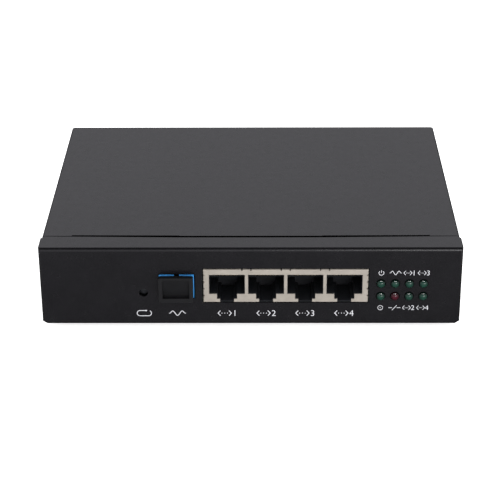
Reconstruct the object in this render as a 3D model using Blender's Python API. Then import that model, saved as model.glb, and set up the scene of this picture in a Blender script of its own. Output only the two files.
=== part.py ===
"""A small optical network terminal in a bent-steel case, as it would come apart on a bench.

Frame: +Z up, the front panel faces -Y, and X runs left to right seen from the front. The origin is
on the table, under the middle of the bounding box. Sizes are in millimetres, and MM makes them metres.
"""

import math

import bmesh
import bpy
from mathutils import Matrix, Vector

MM = 0.001

# Case
CASE_W = 150.3
CASE_D = 112.8
CASE_H = 30.5
SHEET = 0.8
# The front panel bends back to its lip at the top, and more tightly at its sides and foot.
BEND_R = 1.4
EDGE_R = 0.8
FOOT_H = 2.0
GAP = 0.3

# The dust plug's front face and the power inlet's rear face end the bounding box, which is centred on Y = 0.
PLUG_PROUD = 3.3
INLET_PROUD = 0.7
FRONT_Y = PLUG_PROUD - (PLUG_PROUD + CASE_D + INLET_PROUD) / 2
REAR_Y = FRONT_Y + CASE_D
BASE_Z = FOOT_H
TOP_Z = BASE_Z + CASE_H
FLOOR_Z = BASE_Z + SHEET

# Front panel: its lip over the cover, and the clipped corners at its foot
LIP_D = 9.8
LIP_Y = FRONT_Y + LIP_D
LIP_CORNER = 1.2
FOOT_CORNER = 1.1

# Cover
COVER_W = 149.8
COVER_GAP = 0.8
COVER_Y = LIP_Y + COVER_GAP
COVER_BEND_R = 1.2
# At both ends the cover's front edge comes closer to the lip.
SHOULDER_W = 10.8
TONGUE_W = 20.0
TONGUE_REACH = 5.0
TONGUE_XS = (-50.0, 0.0, 50.0)
# Each tongue steps down under the sheet over this stretch behind the cover's front edge.
JOGGLE_YS = (0.8, 2.8)
JOGGLE_INSET = 0.5
TONGUE_OVERLAP = 3.0
COVER_FOOT_GAP = 0.2
VENT_W = 2.0
VENT_H = 9.0
VENT_PITCH = 4.6
VENT_COUNT = 12
VENT_Z = BASE_Z + 18.0
VENT_MIDDLE_Y = 5.0
SIDE_SCREW_YS = (-32.0, 42.0)
SIDE_SCREW_Z = BASE_Z + 10.0

# Pan-head screws: one thread, and a flatter head on the sides of the case than on the board
SCREW_HEAD_R = 2.7
SCREW_SHANK_R = 1.4
SCREW_RECESS_W = 0.6
SIDE_SCREW_HEAD_H = 1.2
SIDE_SCREW_LENGTH = 5.0
BOARD_SCREW_HEAD_H = 1.8
BOARD_SCREW_LENGTH = 6.0
EAR_HOLE_R = 1.65
COVER_HOLE_R = 1.7

# Base tray behind the front panel
BASE_W = COVER_W - 2 * SHEET - 2 * GAP
SIDE_FLANGE_H = 6.0
EAR_H = 15.0
EAR_W = 14.0
EAR_CORNER = 2.0
FLANGE_SETBACK = 5.0
REAR_FLANGE_D = 8.0
REAR_FLANGE_INSET = 4.0
REAR_WALL_TOP = TOP_Z - SHEET - GAP

# Circuit board
BOARD_TOP = BASE_Z + 8.9
BOARD_T = 1.6
BOARD_HALF_W = 68.0
BOARD_FRONT = FRONT_Y + 1.3
BOARD_REAR = REAR_Y - 1.3
SEAT_Z = BOARD_TOP + 0.1
STANDOFF_PLACES = ((-62.0, -42.0), (62.0, -36.0), (-62.0, 47.0), (62.0, 47.0))
STANDOFF_R = 3.2
STANDOFF_BORE_R = 1.6
BOARD_HOLE_R = 1.7
# Parts on the board stand this far above the one they touch.
FILM = 0.05

# Chips: name, place in X and Y, width, depth and height
CHIPS = (
    ("memory_chip", 26.0, 8.0, 13.0, 8.0, 1.1),
    ("flash_chip", -20.0, 10.0, 8.0, 6.0, 1.2),
    ("optical_driver_chip", -12.0, -24.0, 5.0, 5.0, 0.9),
    ("power_regulator", -40.0, 22.0, 5.0, 4.0, 1.5),
    ("network_transformer_1", 4.0, -26.0, 27.0, 12.8, 5.6),
    ("network_transformer_2", 33.0, -26.0, 27.0, 12.8, 5.6),
)
CHIP_EDGE = 0.3
PROCESSOR_PLACE = (2.0, 4.0)
PROCESSOR_SIDE = 17.0
PROCESSOR_H = 1.4
PAD_SIDE = 15.0
PAD_H = 0.5
SINK_SIDE = 22.0
SINK_H = 9.0
SINK_BASE_H = 2.0
FIN_COUNT = 7
FIN_W = 1.0
INDUCTOR_PLACES = ((-50.0, 32.0), (-38.0, 32.0))
INDUCTOR_SIDE = 7.0
INDUCTOR_H = 4.0
CAPACITOR_PLACES = ((-60.0, 30.0), (-28.0, 34.0))
CAPACITOR_R = 4.0
CAPACITOR_H = 10.0
CRYSTAL_PLACE = (22.0, -9.0)
CRYSTAL_SIZE = (10.6, 4.4, 3.4)

# Four-port network jack: the ports are a standard 13.97 mm apart
JACK_X = 12.5
JACK_W = 58.8
JACK_D = 17.0
JACK_Z = (BASE_Z + 9.1, BASE_Z + 22.2)
JACK_PROUD = 0.3
JACK_FACE_Y = FRONT_Y - JACK_PROUD
SHIELD_T = 0.3
JACK_WINDOW_CORNER = 0.5
JACK_SLACK = 0.1
PORT_SHRINK = 0.15
PORT_PITCH = 13.97
PORT_COUNT = 4
PORT_DEPTH = 12.5
# The port's mouth, from the widest part at the top to the latch slot at the bottom
PORT_W = 12.8
LATCH_W = 7.2
SLOT_W = 5.0
PORT_TOP = BASE_Z + 20.1
PORT_FLOOR = BASE_Z + 12.45
LATCH_FLOOR = BASE_Z + 10.45
SLOT_FLOOR = BASE_Z + 9.5
CONTACT_COUNT = 8
CONTACT_PITCH = 1.02
SPRING_DROP = 2.85
# The insert in each port: a carrier strip under the ceiling, and springs that reach back from its front
CARRIER_W = 11.4
CARRIER_D = 10.2
CARRIER_T = 0.7
CARRIER_SETBACK = 1.6
SPRING_W = 0.44
SPRING_T = 0.45
SPRING_REACH = 9.4

# Optical receptacle and its dust plug
OPTIC_X = -26.35
OPTIC_Z = BASE_Z + 15.3
OPTIC_W = 12.6
OPTIC_H = 9.35
OPTIC_D = 22.0
OPTIC_WINDOW_GAP = 0.25
OPTIC_WINDOW_CORNER = 0.4
OPTIC_FEET_YS = (7.0, 17.0)
OPTIC_FOOT = (8.0, 3.0)
SOCKET_W = 9.1
SOCKET_H = 7.5
SOCKET_D = 11.0
KEY_W = 1.95
KEY_D = 6.0
SLEEVE_R = 1.65
SLEEVE_BORE_R = 1.25
SLEEVE_BORE_D = 6.0
SLEEVE_SETBACK = 4.4
SLEEVE_LENGTH = 17.5

# Two-way optical assembly behind the receptacle
BARREL_R = 3.0
BARREL_D = 4.5
OPTIC_BLOCK_SIDE = 6.8
OPTIC_BLOCK_YS = (4.0, 11.0)
CAN_R = 2.2
CAN_RIM_R = 2.6
CAN_RIM_H = 0.6
CAN_H = 3.5

# The dust plug sits loose in the socket, a little high and to the left.
PLUG_X = OPTIC_X - 0.2
PLUG_Z = OPTIC_Z + 0.15
PLUG_FLANGE_W = 12.3
PLUG_FLANGE_H = 9.9
PLUG_FLANGE_T = 2.0
PLUG_FLANGE_CORNER = 0.6
# The finger pocket in the plug's face is deepest at its foot and comes out flush at its top.
POCKET_W = 9.6
POCKET_ZS = (-3.4, 3.9)
POCKET_DEPTH = 1.3
PLUG_CLEARANCE = 0.3
PLUG_REACH = 9.0
PLUG_BORE_R = 2.5
PLUG_BORE_D = 6.5

# Indicator lamps, 3 mm in diameter
LAMP_XS = (46.45, 51.5, 56.55, 61.6)
LAMP_ROWS = (BASE_Z + 16.5, BASE_Z + 11.45)
LAMP_R = 1.5
LAMP_PROUD = 1.5
LAMP_HOLE_R = 1.75
LAMP_FLANGE_R = 1.9
LAMP_FLANGE_Y = FRONT_Y + 3.5
LEAD_SIDE = 0.5
LEAD_PITCH = 1.94
LEAD_RUNS = (5.5, 3.0)
HOLDER_MARGIN_X = 2.6
HOLDER_MARGIN_Z = 2.4
HOLDER_FOOT_W = 1.6

# Reset switch
RESET_X = -38.3
RESET_Z = BASE_Z + 12.8
RESET_HOLE_R = 1.6
RESET_CAP_R = 1.5
RESET_CAP_L = 2.6
RESET_BODY_Y = FRONT_Y + 3.5
RESET_BODY_W = 6.0
RESET_BODY_D = 3.6
RESET_BODY_RISE = 3.2
RESET_BORE_D = 1.4
RESET_SEAT = 0.8

# Power inlet
INLET_X = -48.0
INLET_W = 9.0
INLET_H = 11.0
INLET_D = 14.0
INLET_BORE_R = 3.15
INLET_BORE_D = 10.0
INLET_PIN_R = 1.0
INLET_Z = SEAT_Z + 6.4
INLET_WINDOW_CORNER = 0.4

FEET_PLACES = ((-62.0, -40.0), (62.0, -40.0), (-62.0, 43.0), (62.0, 43.0))
FOOT_R = 4.9
FOOT_FILM = 0.1

# Name: colour, roughness, metallic
FINISHES = {
    "case_paint": ((0.022, 0.022, 0.024), 0.5, 0.0),
    "black_screw": ((0.03, 0.03, 0.03), 0.4, 0.9),
    "rubber": ((0.02, 0.02, 0.02), 0.85, 0.0),
    "jack_shield": ((0.66, 0.61, 0.54), 0.35, 1.0),
    "black_plastic": ((0.015, 0.015, 0.016), 0.45, 0.0),
    "gold": ((0.85, 0.62, 0.25), 0.25, 1.0),
    "optic_blue": ((0.02, 0.22, 0.62), 0.35, 0.0),
    "plug_plastic": ((0.03, 0.03, 0.032), 0.6, 0.0),
    "ceramic": ((0.85, 0.84, 0.8), 0.25, 0.0),
    "steel": ((0.6, 0.6, 0.6), 0.3, 1.0),
    "lamp_green": ((0.01, 0.16, 0.07), 0.12, 0.0),
    "lamp_red": ((0.3, 0.01, 0.02), 0.12, 0.0),
    "board_green": ((0.01, 0.12, 0.05), 0.35, 0.0),
    "chip_black": ((0.02, 0.02, 0.022), 0.55, 0.0),
    "thermal_grey": ((0.35, 0.37, 0.4), 0.9, 0.0),
    "aluminium": ((0.7, 0.7, 0.72), 0.35, 1.0),
    "brass": ((0.7, 0.52, 0.22), 0.3, 1.0),
}


# Making shapes


def clear_scene():
    for obj in list(bpy.data.objects):
        bpy.data.objects.remove(obj)


def point(axis, a, b, along):
    """A point of an outline in the plane across an axis, at a place along it, in metres."""
    orders = {"X": (along, a, b), "Y": (a, along, b), "Z": (a, b, along)}
    return Vector(orders[axis]) * MM


def prism(outline, low, high, axis):
    """An outline of (a, b) points pushed from low to high along an axis."""
    bm = bmesh.new()
    face = bm.faces.new([bm.verts.new(point(axis, a, b, low)) for a, b in outline])
    made = bmesh.ops.extrude_face_region(bm, geom=[face])["geom"]
    ends = [item for item in made if isinstance(item, bmesh.types.BMVert)]
    bmesh.ops.translate(bm, verts=ends, vec=point(axis, 0, 0, high - low))
    bmesh.ops.recalc_face_normals(bm, faces=bm.faces)
    return bm


def box(low, high):
    outline = ((low[0], low[1]), (high[0], low[1]), (high[0], high[1]), (low[0], high[1]))
    return prism(outline, low[2], high[2], "Z")


def block(centre, size):
    """A box from its centre and its full size."""
    low = [c - s / 2 for c, s in zip(centre, size)]
    high = [c + s / 2 for c, s in zip(centre, size)]
    return box(low, high)


def arc(centre, radius, start, end, steps):
    """Points of an arc, both ends included. The angles are in degrees."""
    angles = [math.radians(start + (end - start) * i / steps) for i in range(steps + 1)]
    return [(centre[0] + radius * math.cos(a), centre[1] + radius * math.sin(a)) for a in angles]


def round_rectangle(centre, width, height, radius, steps=3):
    """The outline of a rectangle with round corners."""
    reach_a = width / 2 - radius
    reach_b = height / 2 - radius
    corners = [(reach_a, reach_b, 0), (-reach_a, reach_b, 90)]
    corners += [(-reach_a, -reach_b, 180), (reach_a, -reach_b, 270)]
    points = []
    for a, b, start in corners:
        points += arc((centre[0] + a, centre[1] + b), radius, start, start + 90, steps)
    return points


def rod(centre, radius, low, high, axis, steps=16):
    """A round bar whose section is centred on (a, b) across the axis."""
    return prism(arc(centre, radius, 0, 360 * (steps - 1) / steps, steps - 1), low, high, axis)


def turned(profile, steps=16):
    """A solid of revolution about Z from (radius, height) points that start and end on the axis."""
    bm = bmesh.new()
    verts = [bm.verts.new(Vector((radius, 0, height)) * MM) for radius, height in profile]
    edges = [bm.edges.new(pair) for pair in zip(verts, verts[1:])]
    full_turn = 2 * math.pi
    bmesh.ops.spin(
        bm, geom=verts + edges, cent=(0, 0, 0), axis=(0, 0, 1), angle=full_turn, steps=steps, use_merge=True
    )
    bmesh.ops.remove_doubles(bm, verts=bm.verts, dist=0.002 * MM)
    bmesh.ops.recalc_face_normals(bm, faces=bm.faces)
    return bm


def edge_middle(edge):
    return (edge.verts[0].co + edge.verts[1].co) / 2 / MM


def bevel_where(bm, test, width, segments):
    """Bevels the edges whose middle passes a test of its place in millimetres."""
    edges = [e for e in bm.edges if test(edge_middle(e))]
    bmesh.ops.bevel(
        bm, geom=edges, offset=width * MM, segments=segments, profile=0.5, affect="EDGES", clamp_overlap=True
    )
    return bm


def temporary(bm):
    mesh = bpy.data.meshes.new("temporary")
    bm.to_mesh(mesh)
    bm.free()
    obj = bpy.data.objects.new("temporary", mesh)
    bpy.context.scene.collection.objects.link(obj)
    return obj


def rounded(bm, radius_of, segments):
    """The shape with each edge rounded to the radius that radius_of gives for its middle."""
    radii = [radius_of(edge_middle(edge)) for edge in bm.edges]
    layer = bm.edges.layers.float.new("bevel_weight_edge")
    for edge, radius in zip(bm.edges, radii):
        edge[layer] = radius / max(radii)
    obj = temporary(bm)
    soften = obj.modifiers.new("round", "BEVEL")
    soften.width = max(radii) * MM
    soften.segments = segments
    soften.limit_method = "WEIGHT"
    graph = bpy.context.evaluated_depsgraph_get()
    made = bmesh.new()
    made.from_mesh(obj.evaluated_get(graph).to_mesh())
    bpy.data.objects.remove(obj)
    return made


def shaped(base, *steps):
    """The base shape after each step, a ("join", shape) or a ("cut", shape), as one mesh."""
    keeper = temporary(base)
    helpers = []
    for action, shape in steps:
        tool = temporary(shape)
        helpers.append(tool)
        modifier = keeper.modifiers.new(action, "BOOLEAN")
        modifier.operation = "UNION" if action == "join" else "DIFFERENCE"
        modifier.solver = "EXACT"
        modifier.object = tool
    graph = bpy.context.evaluated_depsgraph_get()
    mesh = bpy.data.meshes.new_from_object(keeper.evaluated_get(graph))
    for obj in [keeper, *helpers]:
        bpy.data.objects.remove(obj)
    return mesh


def finish(name):
    """The material of that name from the table of finishes."""
    made = bpy.data.materials.get(name)
    if made is None:
        colour, roughness, metallic = FINISHES[name]
        made = bpy.data.materials.new(name)
        made.use_nodes = True
        shader = made.node_tree.nodes["Principled BSDF"]
        shader.inputs["Base Color"].default_value = (*colour, 1.0)
        shader.inputs["Roughness"].default_value = roughness
        shader.inputs["Metallic"].default_value = metallic
    return made


def place(name, mesh, finish_name, location=(0, 0, 0), rotation=None):
    """One named sub-part, with its mesh placed by a location in millimetres."""
    mesh.materials.clear()
    mesh.materials.append(finish(finish_name))
    mesh.shade_smooth()
    mesh.set_sharp_from_angle(angle=math.radians(35))
    obj = bpy.data.objects.new(name, mesh)
    bpy.context.scene.collection.objects.link(obj)
    obj.location = Vector(location) * MM
    if rotation is not None:
        obj.rotation_euler = rotation
    return obj


# Case


def panel_outline(inset):
    """The front panel's outline in X and Z, drawn in by inset, with both bottom corners clipped."""
    half = CASE_W / 2 - inset
    low = BASE_Z + inset
    high = TOP_Z - inset
    clip = FOOT_CORNER - inset * (2 - math.sqrt(2))
    left = [(-half, high), (-half, low + clip), (-half + clip, low)]
    return left + [(-x, z) for x, z in reversed(left)]


def front_radius(p):
    """How far an edge of the front panel is rounded, from its place."""
    if p.y > FRONT_Y + 0.01:
        return 0
    return BEND_R if p.z > TOP_Z - 0.01 else EDGE_R


def port_outline(centre_x, shrink, floor):
    """A port's mouth in X and Z: a wide top, a latch step and a narrow slot that ends at floor."""
    wide = PORT_W / 2 - shrink
    latch = LATCH_W / 2 - shrink
    slot = SLOT_W / 2 - shrink
    half = [
        (wide, PORT_TOP - shrink),
        (wide, PORT_FLOOR + shrink),
        (latch, PORT_FLOOR + shrink),
        (latch, LATCH_FLOOR + shrink),
        (slot, LATCH_FLOOR + shrink),
        (slot, floor),
    ]
    right = [(centre_x + x, z) for x, z in half]
    left = [(centre_x - x, z) for x, z in reversed(half)]
    return right + left


def port_centres():
    first = JACK_X - PORT_PITCH * (PORT_COUNT - 1) / 2
    return [first + PORT_PITCH * i for i in range(PORT_COUNT)]


def front_windows():
    """What is punched out of the front panel."""
    low = FRONT_Y - 1
    high = FRONT_Y + SHEET + 1
    jack_middle = (JACK_X, (JACK_Z[0] + JACK_Z[1]) / 2)
    jack_height = JACK_Z[1] - JACK_Z[0]
    jack_outline = round_rectangle(jack_middle, JACK_W + 2 * GAP, jack_height + 2 * GAP, JACK_WINDOW_CORNER, 2)
    optic_width = OPTIC_W + 2 * OPTIC_WINDOW_GAP
    optic_height = OPTIC_H + 2 * OPTIC_WINDOW_GAP
    optic_outline = round_rectangle((OPTIC_X, OPTIC_Z), optic_width, optic_height, OPTIC_WINDOW_CORNER, 2)
    windows = [prism(jack_outline, low, high, "Y"), prism(optic_outline, low, high, "Y")]
    windows.append(rod((RESET_X, RESET_Z), RESET_HOLE_R, low, high, "Y"))
    for x in LAMP_XS:
        for z in LAMP_ROWS:
            windows.append(rod((x, z), LAMP_HOLE_R, low, high, "Y"))
    return windows


def lip_corner(side):
    """The corner clipped off the back of the lip, on side -1 or 1."""
    edge = side * CASE_W / 2
    outline = [
        (edge + side, LIP_Y + 1),
        (edge - side * (LIP_CORNER + 1), LIP_Y + 1),
        (edge - side * LIP_CORNER, LIP_Y),
        (edge, LIP_Y - 1.5 * LIP_CORNER),
        (edge + side, LIP_Y - 1.5 * LIP_CORNER),
    ]
    return prism(outline, TOP_Z - 2.5 * SHEET, TOP_Z + 1, "Z")


def screw_ear(side, y):
    """An ear that stands up from the base's side flange and takes a cover screw."""
    outer = side * BASE_W / 2
    inner = outer - side * SHEET
    low_x = min(inner, outer)
    high_x = max(inner, outer)
    half = EAR_W / 2
    top = BASE_Z + EAR_H
    outline = [(y - half, BASE_Z + 1), (y + half, BASE_Z + 1), (y + half, top - EAR_CORNER)]
    outline += [(y + half - EAR_CORNER, top), (y - half + EAR_CORNER, top), (y - half, top - EAR_CORNER)]
    return prism(outline, low_x, high_x, "X")


def side_flange(side):
    outer = side * BASE_W / 2
    inner = outer - side * SHEET
    low = (min(inner, outer), LIP_Y + FLANGE_SETBACK, BASE_Z)
    high = (max(inner, outer), REAR_Y, BASE_Z + SIDE_FLANGE_H)
    return box(low, high)


def make_chassis():
    """Base, front panel with its lip and side returns, and rear wall: one bent sheet."""
    half_base = BASE_W / 2
    panel = rounded(prism(panel_outline(0), FRONT_Y, LIP_Y, "Y"), front_radius, 3)
    steps = [("cut", prism(panel_outline(SHEET), FRONT_Y + SHEET, LIP_Y + 1, "Y"))]
    steps.append(("join", box((-half_base, LIP_Y - 2, BASE_Z), (half_base, REAR_Y, FLOOR_Z))))
    steps.append(("join", box((-half_base, REAR_Y - SHEET, BASE_Z), (half_base, REAR_Y, REAR_WALL_TOP))))
    half_flange = half_base - REAR_FLANGE_INSET
    flange_low = (-half_flange, REAR_Y - REAR_FLANGE_D, REAR_WALL_TOP - SHEET)
    steps.append(("join", box(flange_low, (half_flange, REAR_Y, REAR_WALL_TOP))))
    for side in (-1, 1):
        steps.append(("join", side_flange(side)))
        steps += [("join", screw_ear(side, y)) for y in SIDE_SCREW_YS]
        steps.append(("cut", lip_corner(side)))
    steps += [("cut", window) for window in front_windows()]
    inlet_middle = (INLET_X, SEAT_Z + INLET_H / 2)
    inlet_outline = round_rectangle(inlet_middle, INLET_W + 2 * GAP, INLET_H + 2 * GAP, INLET_WINDOW_CORNER, 2)
    steps.append(("cut", prism(inlet_outline, REAR_Y - 2, REAR_Y + 1, "Y")))
    for y in SIDE_SCREW_YS:
        steps.append(("cut", rod((y, SIDE_SCREW_Z), EAR_HOLE_R, -CASE_W, CASE_W, "X", 12)))
    place("chassis", shaped(panel, *steps), "case_paint")


def cover_outline():
    """The cover's section in X and Z: a top and two sides, with round bends."""
    half = COVER_W / 2
    foot = BASE_Z + COVER_FOOT_GAP
    outer_r = COVER_BEND_R
    inner_r = COVER_BEND_R - SHEET
    bend_z = TOP_Z - outer_r
    bend_x = half - outer_r
    outer = [(half, foot)] + arc((bend_x, bend_z), outer_r, 0, 90, 3)
    outer += arc((-bend_x, bend_z), outer_r, 90, 180, 3) + [(-half, foot)]
    inner = [(-half + SHEET, foot)] + arc((-bend_x, bend_z), inner_r, 180, 90, 2)
    inner += arc((bend_x, bend_z), inner_r, 90, 0, 2) + [(half - SHEET, foot)]
    return outer + inner


def vent_ys():
    first = VENT_MIDDLE_Y - VENT_PITCH * (VENT_COUNT - 1) / 2
    return [first + VENT_PITCH * i for i in range(VENT_COUNT)]


def make_cover():
    """Top and sides in one sheet, with tongues that slip under the front panel's lip."""
    steps = []
    tongue_top = TOP_Z - SHEET - GAP
    tongue_low = tongue_top - SHEET
    half_joggle = TONGUE_W / 2 - JOGGLE_INSET
    joggle_low_z = tongue_low + 0.25 * SHEET
    for x in TONGUE_XS:
        low = (x - TONGUE_W / 2, COVER_Y - TONGUE_REACH, tongue_low)
        reach = box(low, (x + TONGUE_W / 2, COVER_Y + TONGUE_OVERLAP, tongue_top))
        step_low = (x - half_joggle, COVER_Y + JOGGLE_YS[0], joggle_low_z)
        joggle = box(step_low, (x + half_joggle, COVER_Y + JOGGLE_YS[1], TOP_Z - SHEET / 2))
        steps += [("join", joggle), ("join", reach)]
    half_notch = COVER_W / 2 - SHOULDER_W
    notch = box((-half_notch, LIP_Y - 1, TOP_Z - SHEET - 0.5), (half_notch, COVER_Y, TOP_Z + 1))
    steps.insert(0, ("cut", notch))
    for y in vent_ys():
        slot = round_rectangle((y, VENT_Z), VENT_W, VENT_H, VENT_W / 2 - 0.01, 3)
        steps.append(("cut", prism(slot, -CASE_W, CASE_W, "X")))
    for y in SIDE_SCREW_YS:
        steps.append(("cut", rod((y, SIDE_SCREW_Z), COVER_HOLE_R, -CASE_W, CASE_W, "X", 12)))
    place("top_cover", shaped(prism(cover_outline(), LIP_Y + GAP, REAR_Y, "Y"), *steps), "case_paint")


def screw_mesh(head_h, length):
    """A pan-head screw whose head stands on Z = 0 and whose shank runs down, with a cross recess."""
    point_r = SCREW_SHANK_R - 0.5
    profile = [(0, -length), (point_r, -length), (SCREW_SHANK_R, 0.6 - length), (SCREW_SHANK_R, 0)]
    profile += [(SCREW_HEAD_R, 0), (SCREW_HEAD_R, head_h * 0.45)]
    profile += [(SCREW_HEAD_R * 0.75, head_h * 0.9), (0, head_h)]
    arm = SCREW_HEAD_R * 1.1
    depth = head_h * 1.3
    across = block((0, 0, head_h), (arm, SCREW_RECESS_W, depth))
    along = block((0, 0, head_h), (SCREW_RECESS_W, arm, depth - 0.02))
    return shaped(turned(profile, 12), ("cut", across), ("cut", along))


def make_side_screws():
    mesh = screw_mesh(SIDE_SCREW_HEAD_H, SIDE_SCREW_LENGTH)
    number = 0
    for side in (-1, 1):
        for y in SIDE_SCREW_YS:
            number += 1
            at = (side * (COVER_W / 2 + 0.1), y, SIDE_SCREW_Z)
            turn = (0, side * math.pi / 2, 0)
            place(f"side_screw_{number}", mesh, "black_screw", at, turn)


def make_feet():
    height = FOOT_H - FOOT_FILM
    profile = [(0, 0), (FOOT_R - 0.7, 0), (FOOT_R - 0.2, 0.5), (FOOT_R, height), (0, height)]
    mesh = shaped(turned(profile, 16))
    for number, (x, y) in enumerate(FEET_PLACES, 1):
        place(f"rubber_foot_{number}", mesh, "rubber", (x, y, 0))


# Circuit board and what stands on it


def make_board():
    low = (-BOARD_HALF_W, BOARD_FRONT, BOARD_TOP - BOARD_T)
    steps = []
    for x, y in STANDOFF_PLACES:
        steps.append(("cut", rod((x, y), BOARD_HOLE_R, BOARD_TOP - 3, BOARD_TOP + 1, "Z", 12)))
    place("main_board", shaped(box(low, (BOARD_HALF_W, BOARD_REAR, BOARD_TOP)), *steps), "board_green")


def make_board_fixings():
    """Hexagonal standoffs on the floor, and the screws that hold the board down on them."""
    height = BOARD_TOP - BOARD_T - FLOOR_Z - 0.2
    hexagon = arc((0, 0), STANDOFF_R, 0, 300, 5)
    bore = rod((0, 0), STANDOFF_BORE_R, 1.0, height + 1, "Z", 12)
    standoff = shaped(prism(hexagon, 0, height, "Z"), ("cut", bore))
    screw = screw_mesh(BOARD_SCREW_HEAD_H, BOARD_SCREW_LENGTH)
    for number, (x, y) in enumerate(STANDOFF_PLACES, 1):
        place(f"standoff_{number}", standoff, "brass", (x, y, FLOOR_Z + 0.1))
        place(f"board_screw_{number}", screw, "steel", (x, y, SEAT_Z))


def make_chip(name, x, y, width, depth, height):
    """A flat package on the board with its upper edges eased."""
    shape = block((0, 0, height / 2), (width, depth, height))
    bevel_where(shape, lambda p: p.z > height - 0.01, min(CHIP_EDGE, height / 4), 1)
    place(name, shaped(shape), "chip_black", (x, y, SEAT_Z))


def make_processor():
    """The processor under a finned heat sink, with a thermal pad between them."""
    x, y = PROCESSOR_PLACE
    make_chip("processor", x, y, PROCESSOR_SIDE, PROCESSOR_SIDE, PROCESSOR_H)
    pad_z = SEAT_Z + PROCESSOR_H + FILM
    pad = block((0, 0, PAD_H / 2), (PAD_SIDE, PAD_SIDE, PAD_H))
    place("thermal_pad", shaped(pad), "thermal_grey", (x, y, pad_z))
    half = SINK_SIDE / 2
    pitch = (SINK_SIDE - FIN_W) / (FIN_COUNT - 1)
    outline = [(-half, 0), (half, 0)]
    for i in reversed(range(FIN_COUNT)):
        left = -half + i * pitch
        outline += [(left + FIN_W, SINK_H), (left, SINK_H)]
        if i:
            outline += [(left, SINK_BASE_H), (left - pitch + FIN_W, SINK_BASE_H)]
    place("heat_sink", shaped(prism(outline, -half, half, "Y")), "aluminium", (x, y, pad_z + PAD_H + FILM))


def make_board_parts():
    make_processor()
    for name, x, y, width, depth, height in CHIPS:
        make_chip(name, x, y, width, depth, height)
    section = round_rectangle((0, 0), INDUCTOR_SIDE, INDUCTOR_SIDE, 1.2, 1)
    inductor = shaped(prism(section, 0, INDUCTOR_H, "Z"))
    for number, (x, y) in enumerate(INDUCTOR_PLACES, 1):
        place(f"power_inductor_{number}", inductor, "chip_black", (x, y, SEAT_Z))
    neck = CAPACITOR_R - 0.4
    base = CAPACITOR_R - 0.1
    profile = [(0, 0), (base, 0), (base, 1.2), (neck, 1.6), (CAPACITOR_R, 2.1)]
    profile += [(CAPACITOR_R, CAPACITOR_H - 0.4), (neck, CAPACITOR_H), (0, CAPACITOR_H)]
    capacitor = shaped(turned(profile, 16))
    for number, (x, y) in enumerate(CAPACITOR_PLACES, 1):
        place(f"capacitor_{number}", capacitor, "aluminium", (x, y, SEAT_Z))
    width, depth, height = CRYSTAL_SIZE
    crystal = prism(round_rectangle((0, 0), width, depth, depth / 2 - 0.1, 4), 0, height, "Z")
    place("crystal", shaped(crystal), "steel", (*CRYSTAL_PLACE, SEAT_Z))


# Network jack


def make_jack():
    """One steel shield round one black moulding with four ports, each with an insert of eight springs."""
    half = JACK_W / 2
    rear = JACK_FACE_Y + JACK_D
    low_z, high_z = JACK_Z
    outside = box((JACK_X - half, JACK_FACE_Y, low_z), (JACK_X + half, rear, high_z))
    wall = SHIELD_T
    inner_low = (JACK_X - half + wall, JACK_FACE_Y + wall, low_z - 1)
    inside = box(inner_low, (JACK_X + half - wall, rear - wall, high_z - wall))
    steps = [("cut", inside)]
    for x in port_centres():
        steps.append(("cut", prism(port_outline(x, 0, low_z - 1), JACK_FACE_Y - 1, JACK_FACE_Y + 1, "Y")))
    place("jack_shield", shaped(outside, *steps), "jack_shield")

    slack = wall + JACK_SLACK
    front = JACK_FACE_Y + slack
    moulding_low = (JACK_X - half + slack, front, low_z + 0.05)
    moulding = box(moulding_low, (JACK_X + half - slack, rear - slack, high_z - slack))
    steps = []
    for x in port_centres():
        outline = port_outline(x, PORT_SHRINK, SLOT_FLOOR)
        steps.append(("cut", prism(outline, front - 1, front + PORT_DEPTH, "Y")))
    place("jack_housing", shaped(moulding, *steps), "black_plastic")


def contact_insert_mesh():
    """A carrier strip under the port's ceiling with eight springs that slope down and back from its front."""
    half = CARRIER_W / 2
    top = PORT_TOP - PORT_SHRINK - 0.1
    front = FRONT_Y + CARRIER_SETBACK
    carrier = box((-half, front, top - CARRIER_T), (half, front + CARRIER_D, top))
    steps = []
    first = -CONTACT_PITCH * (CONTACT_COUNT - 1) / 2
    tip_y = front + SPRING_REACH
    tip_z = top - SPRING_DROP
    root_top = top - 0.3
    root_low = top - 0.9
    for i in range(CONTACT_COUNT):
        x = first + CONTACT_PITCH * i
        outline = [(front + 0.6, root_top), (front + 0.6, root_low), (tip_y, tip_z), (tip_y, tip_z + SPRING_T)]
        outline += [(front + 1.6, root_top)]
        steps.append(("join", prism(outline, x - SPRING_W / 2, x + SPRING_W / 2, "X")))
    return shaped(carrier, *steps)


def make_contact_inserts():
    mesh = contact_insert_mesh()
    for number, x in enumerate(port_centres(), 1):
        place(f"contact_insert_{number}", mesh, "gold", (x, 0, 0))


# Optical port


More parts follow.
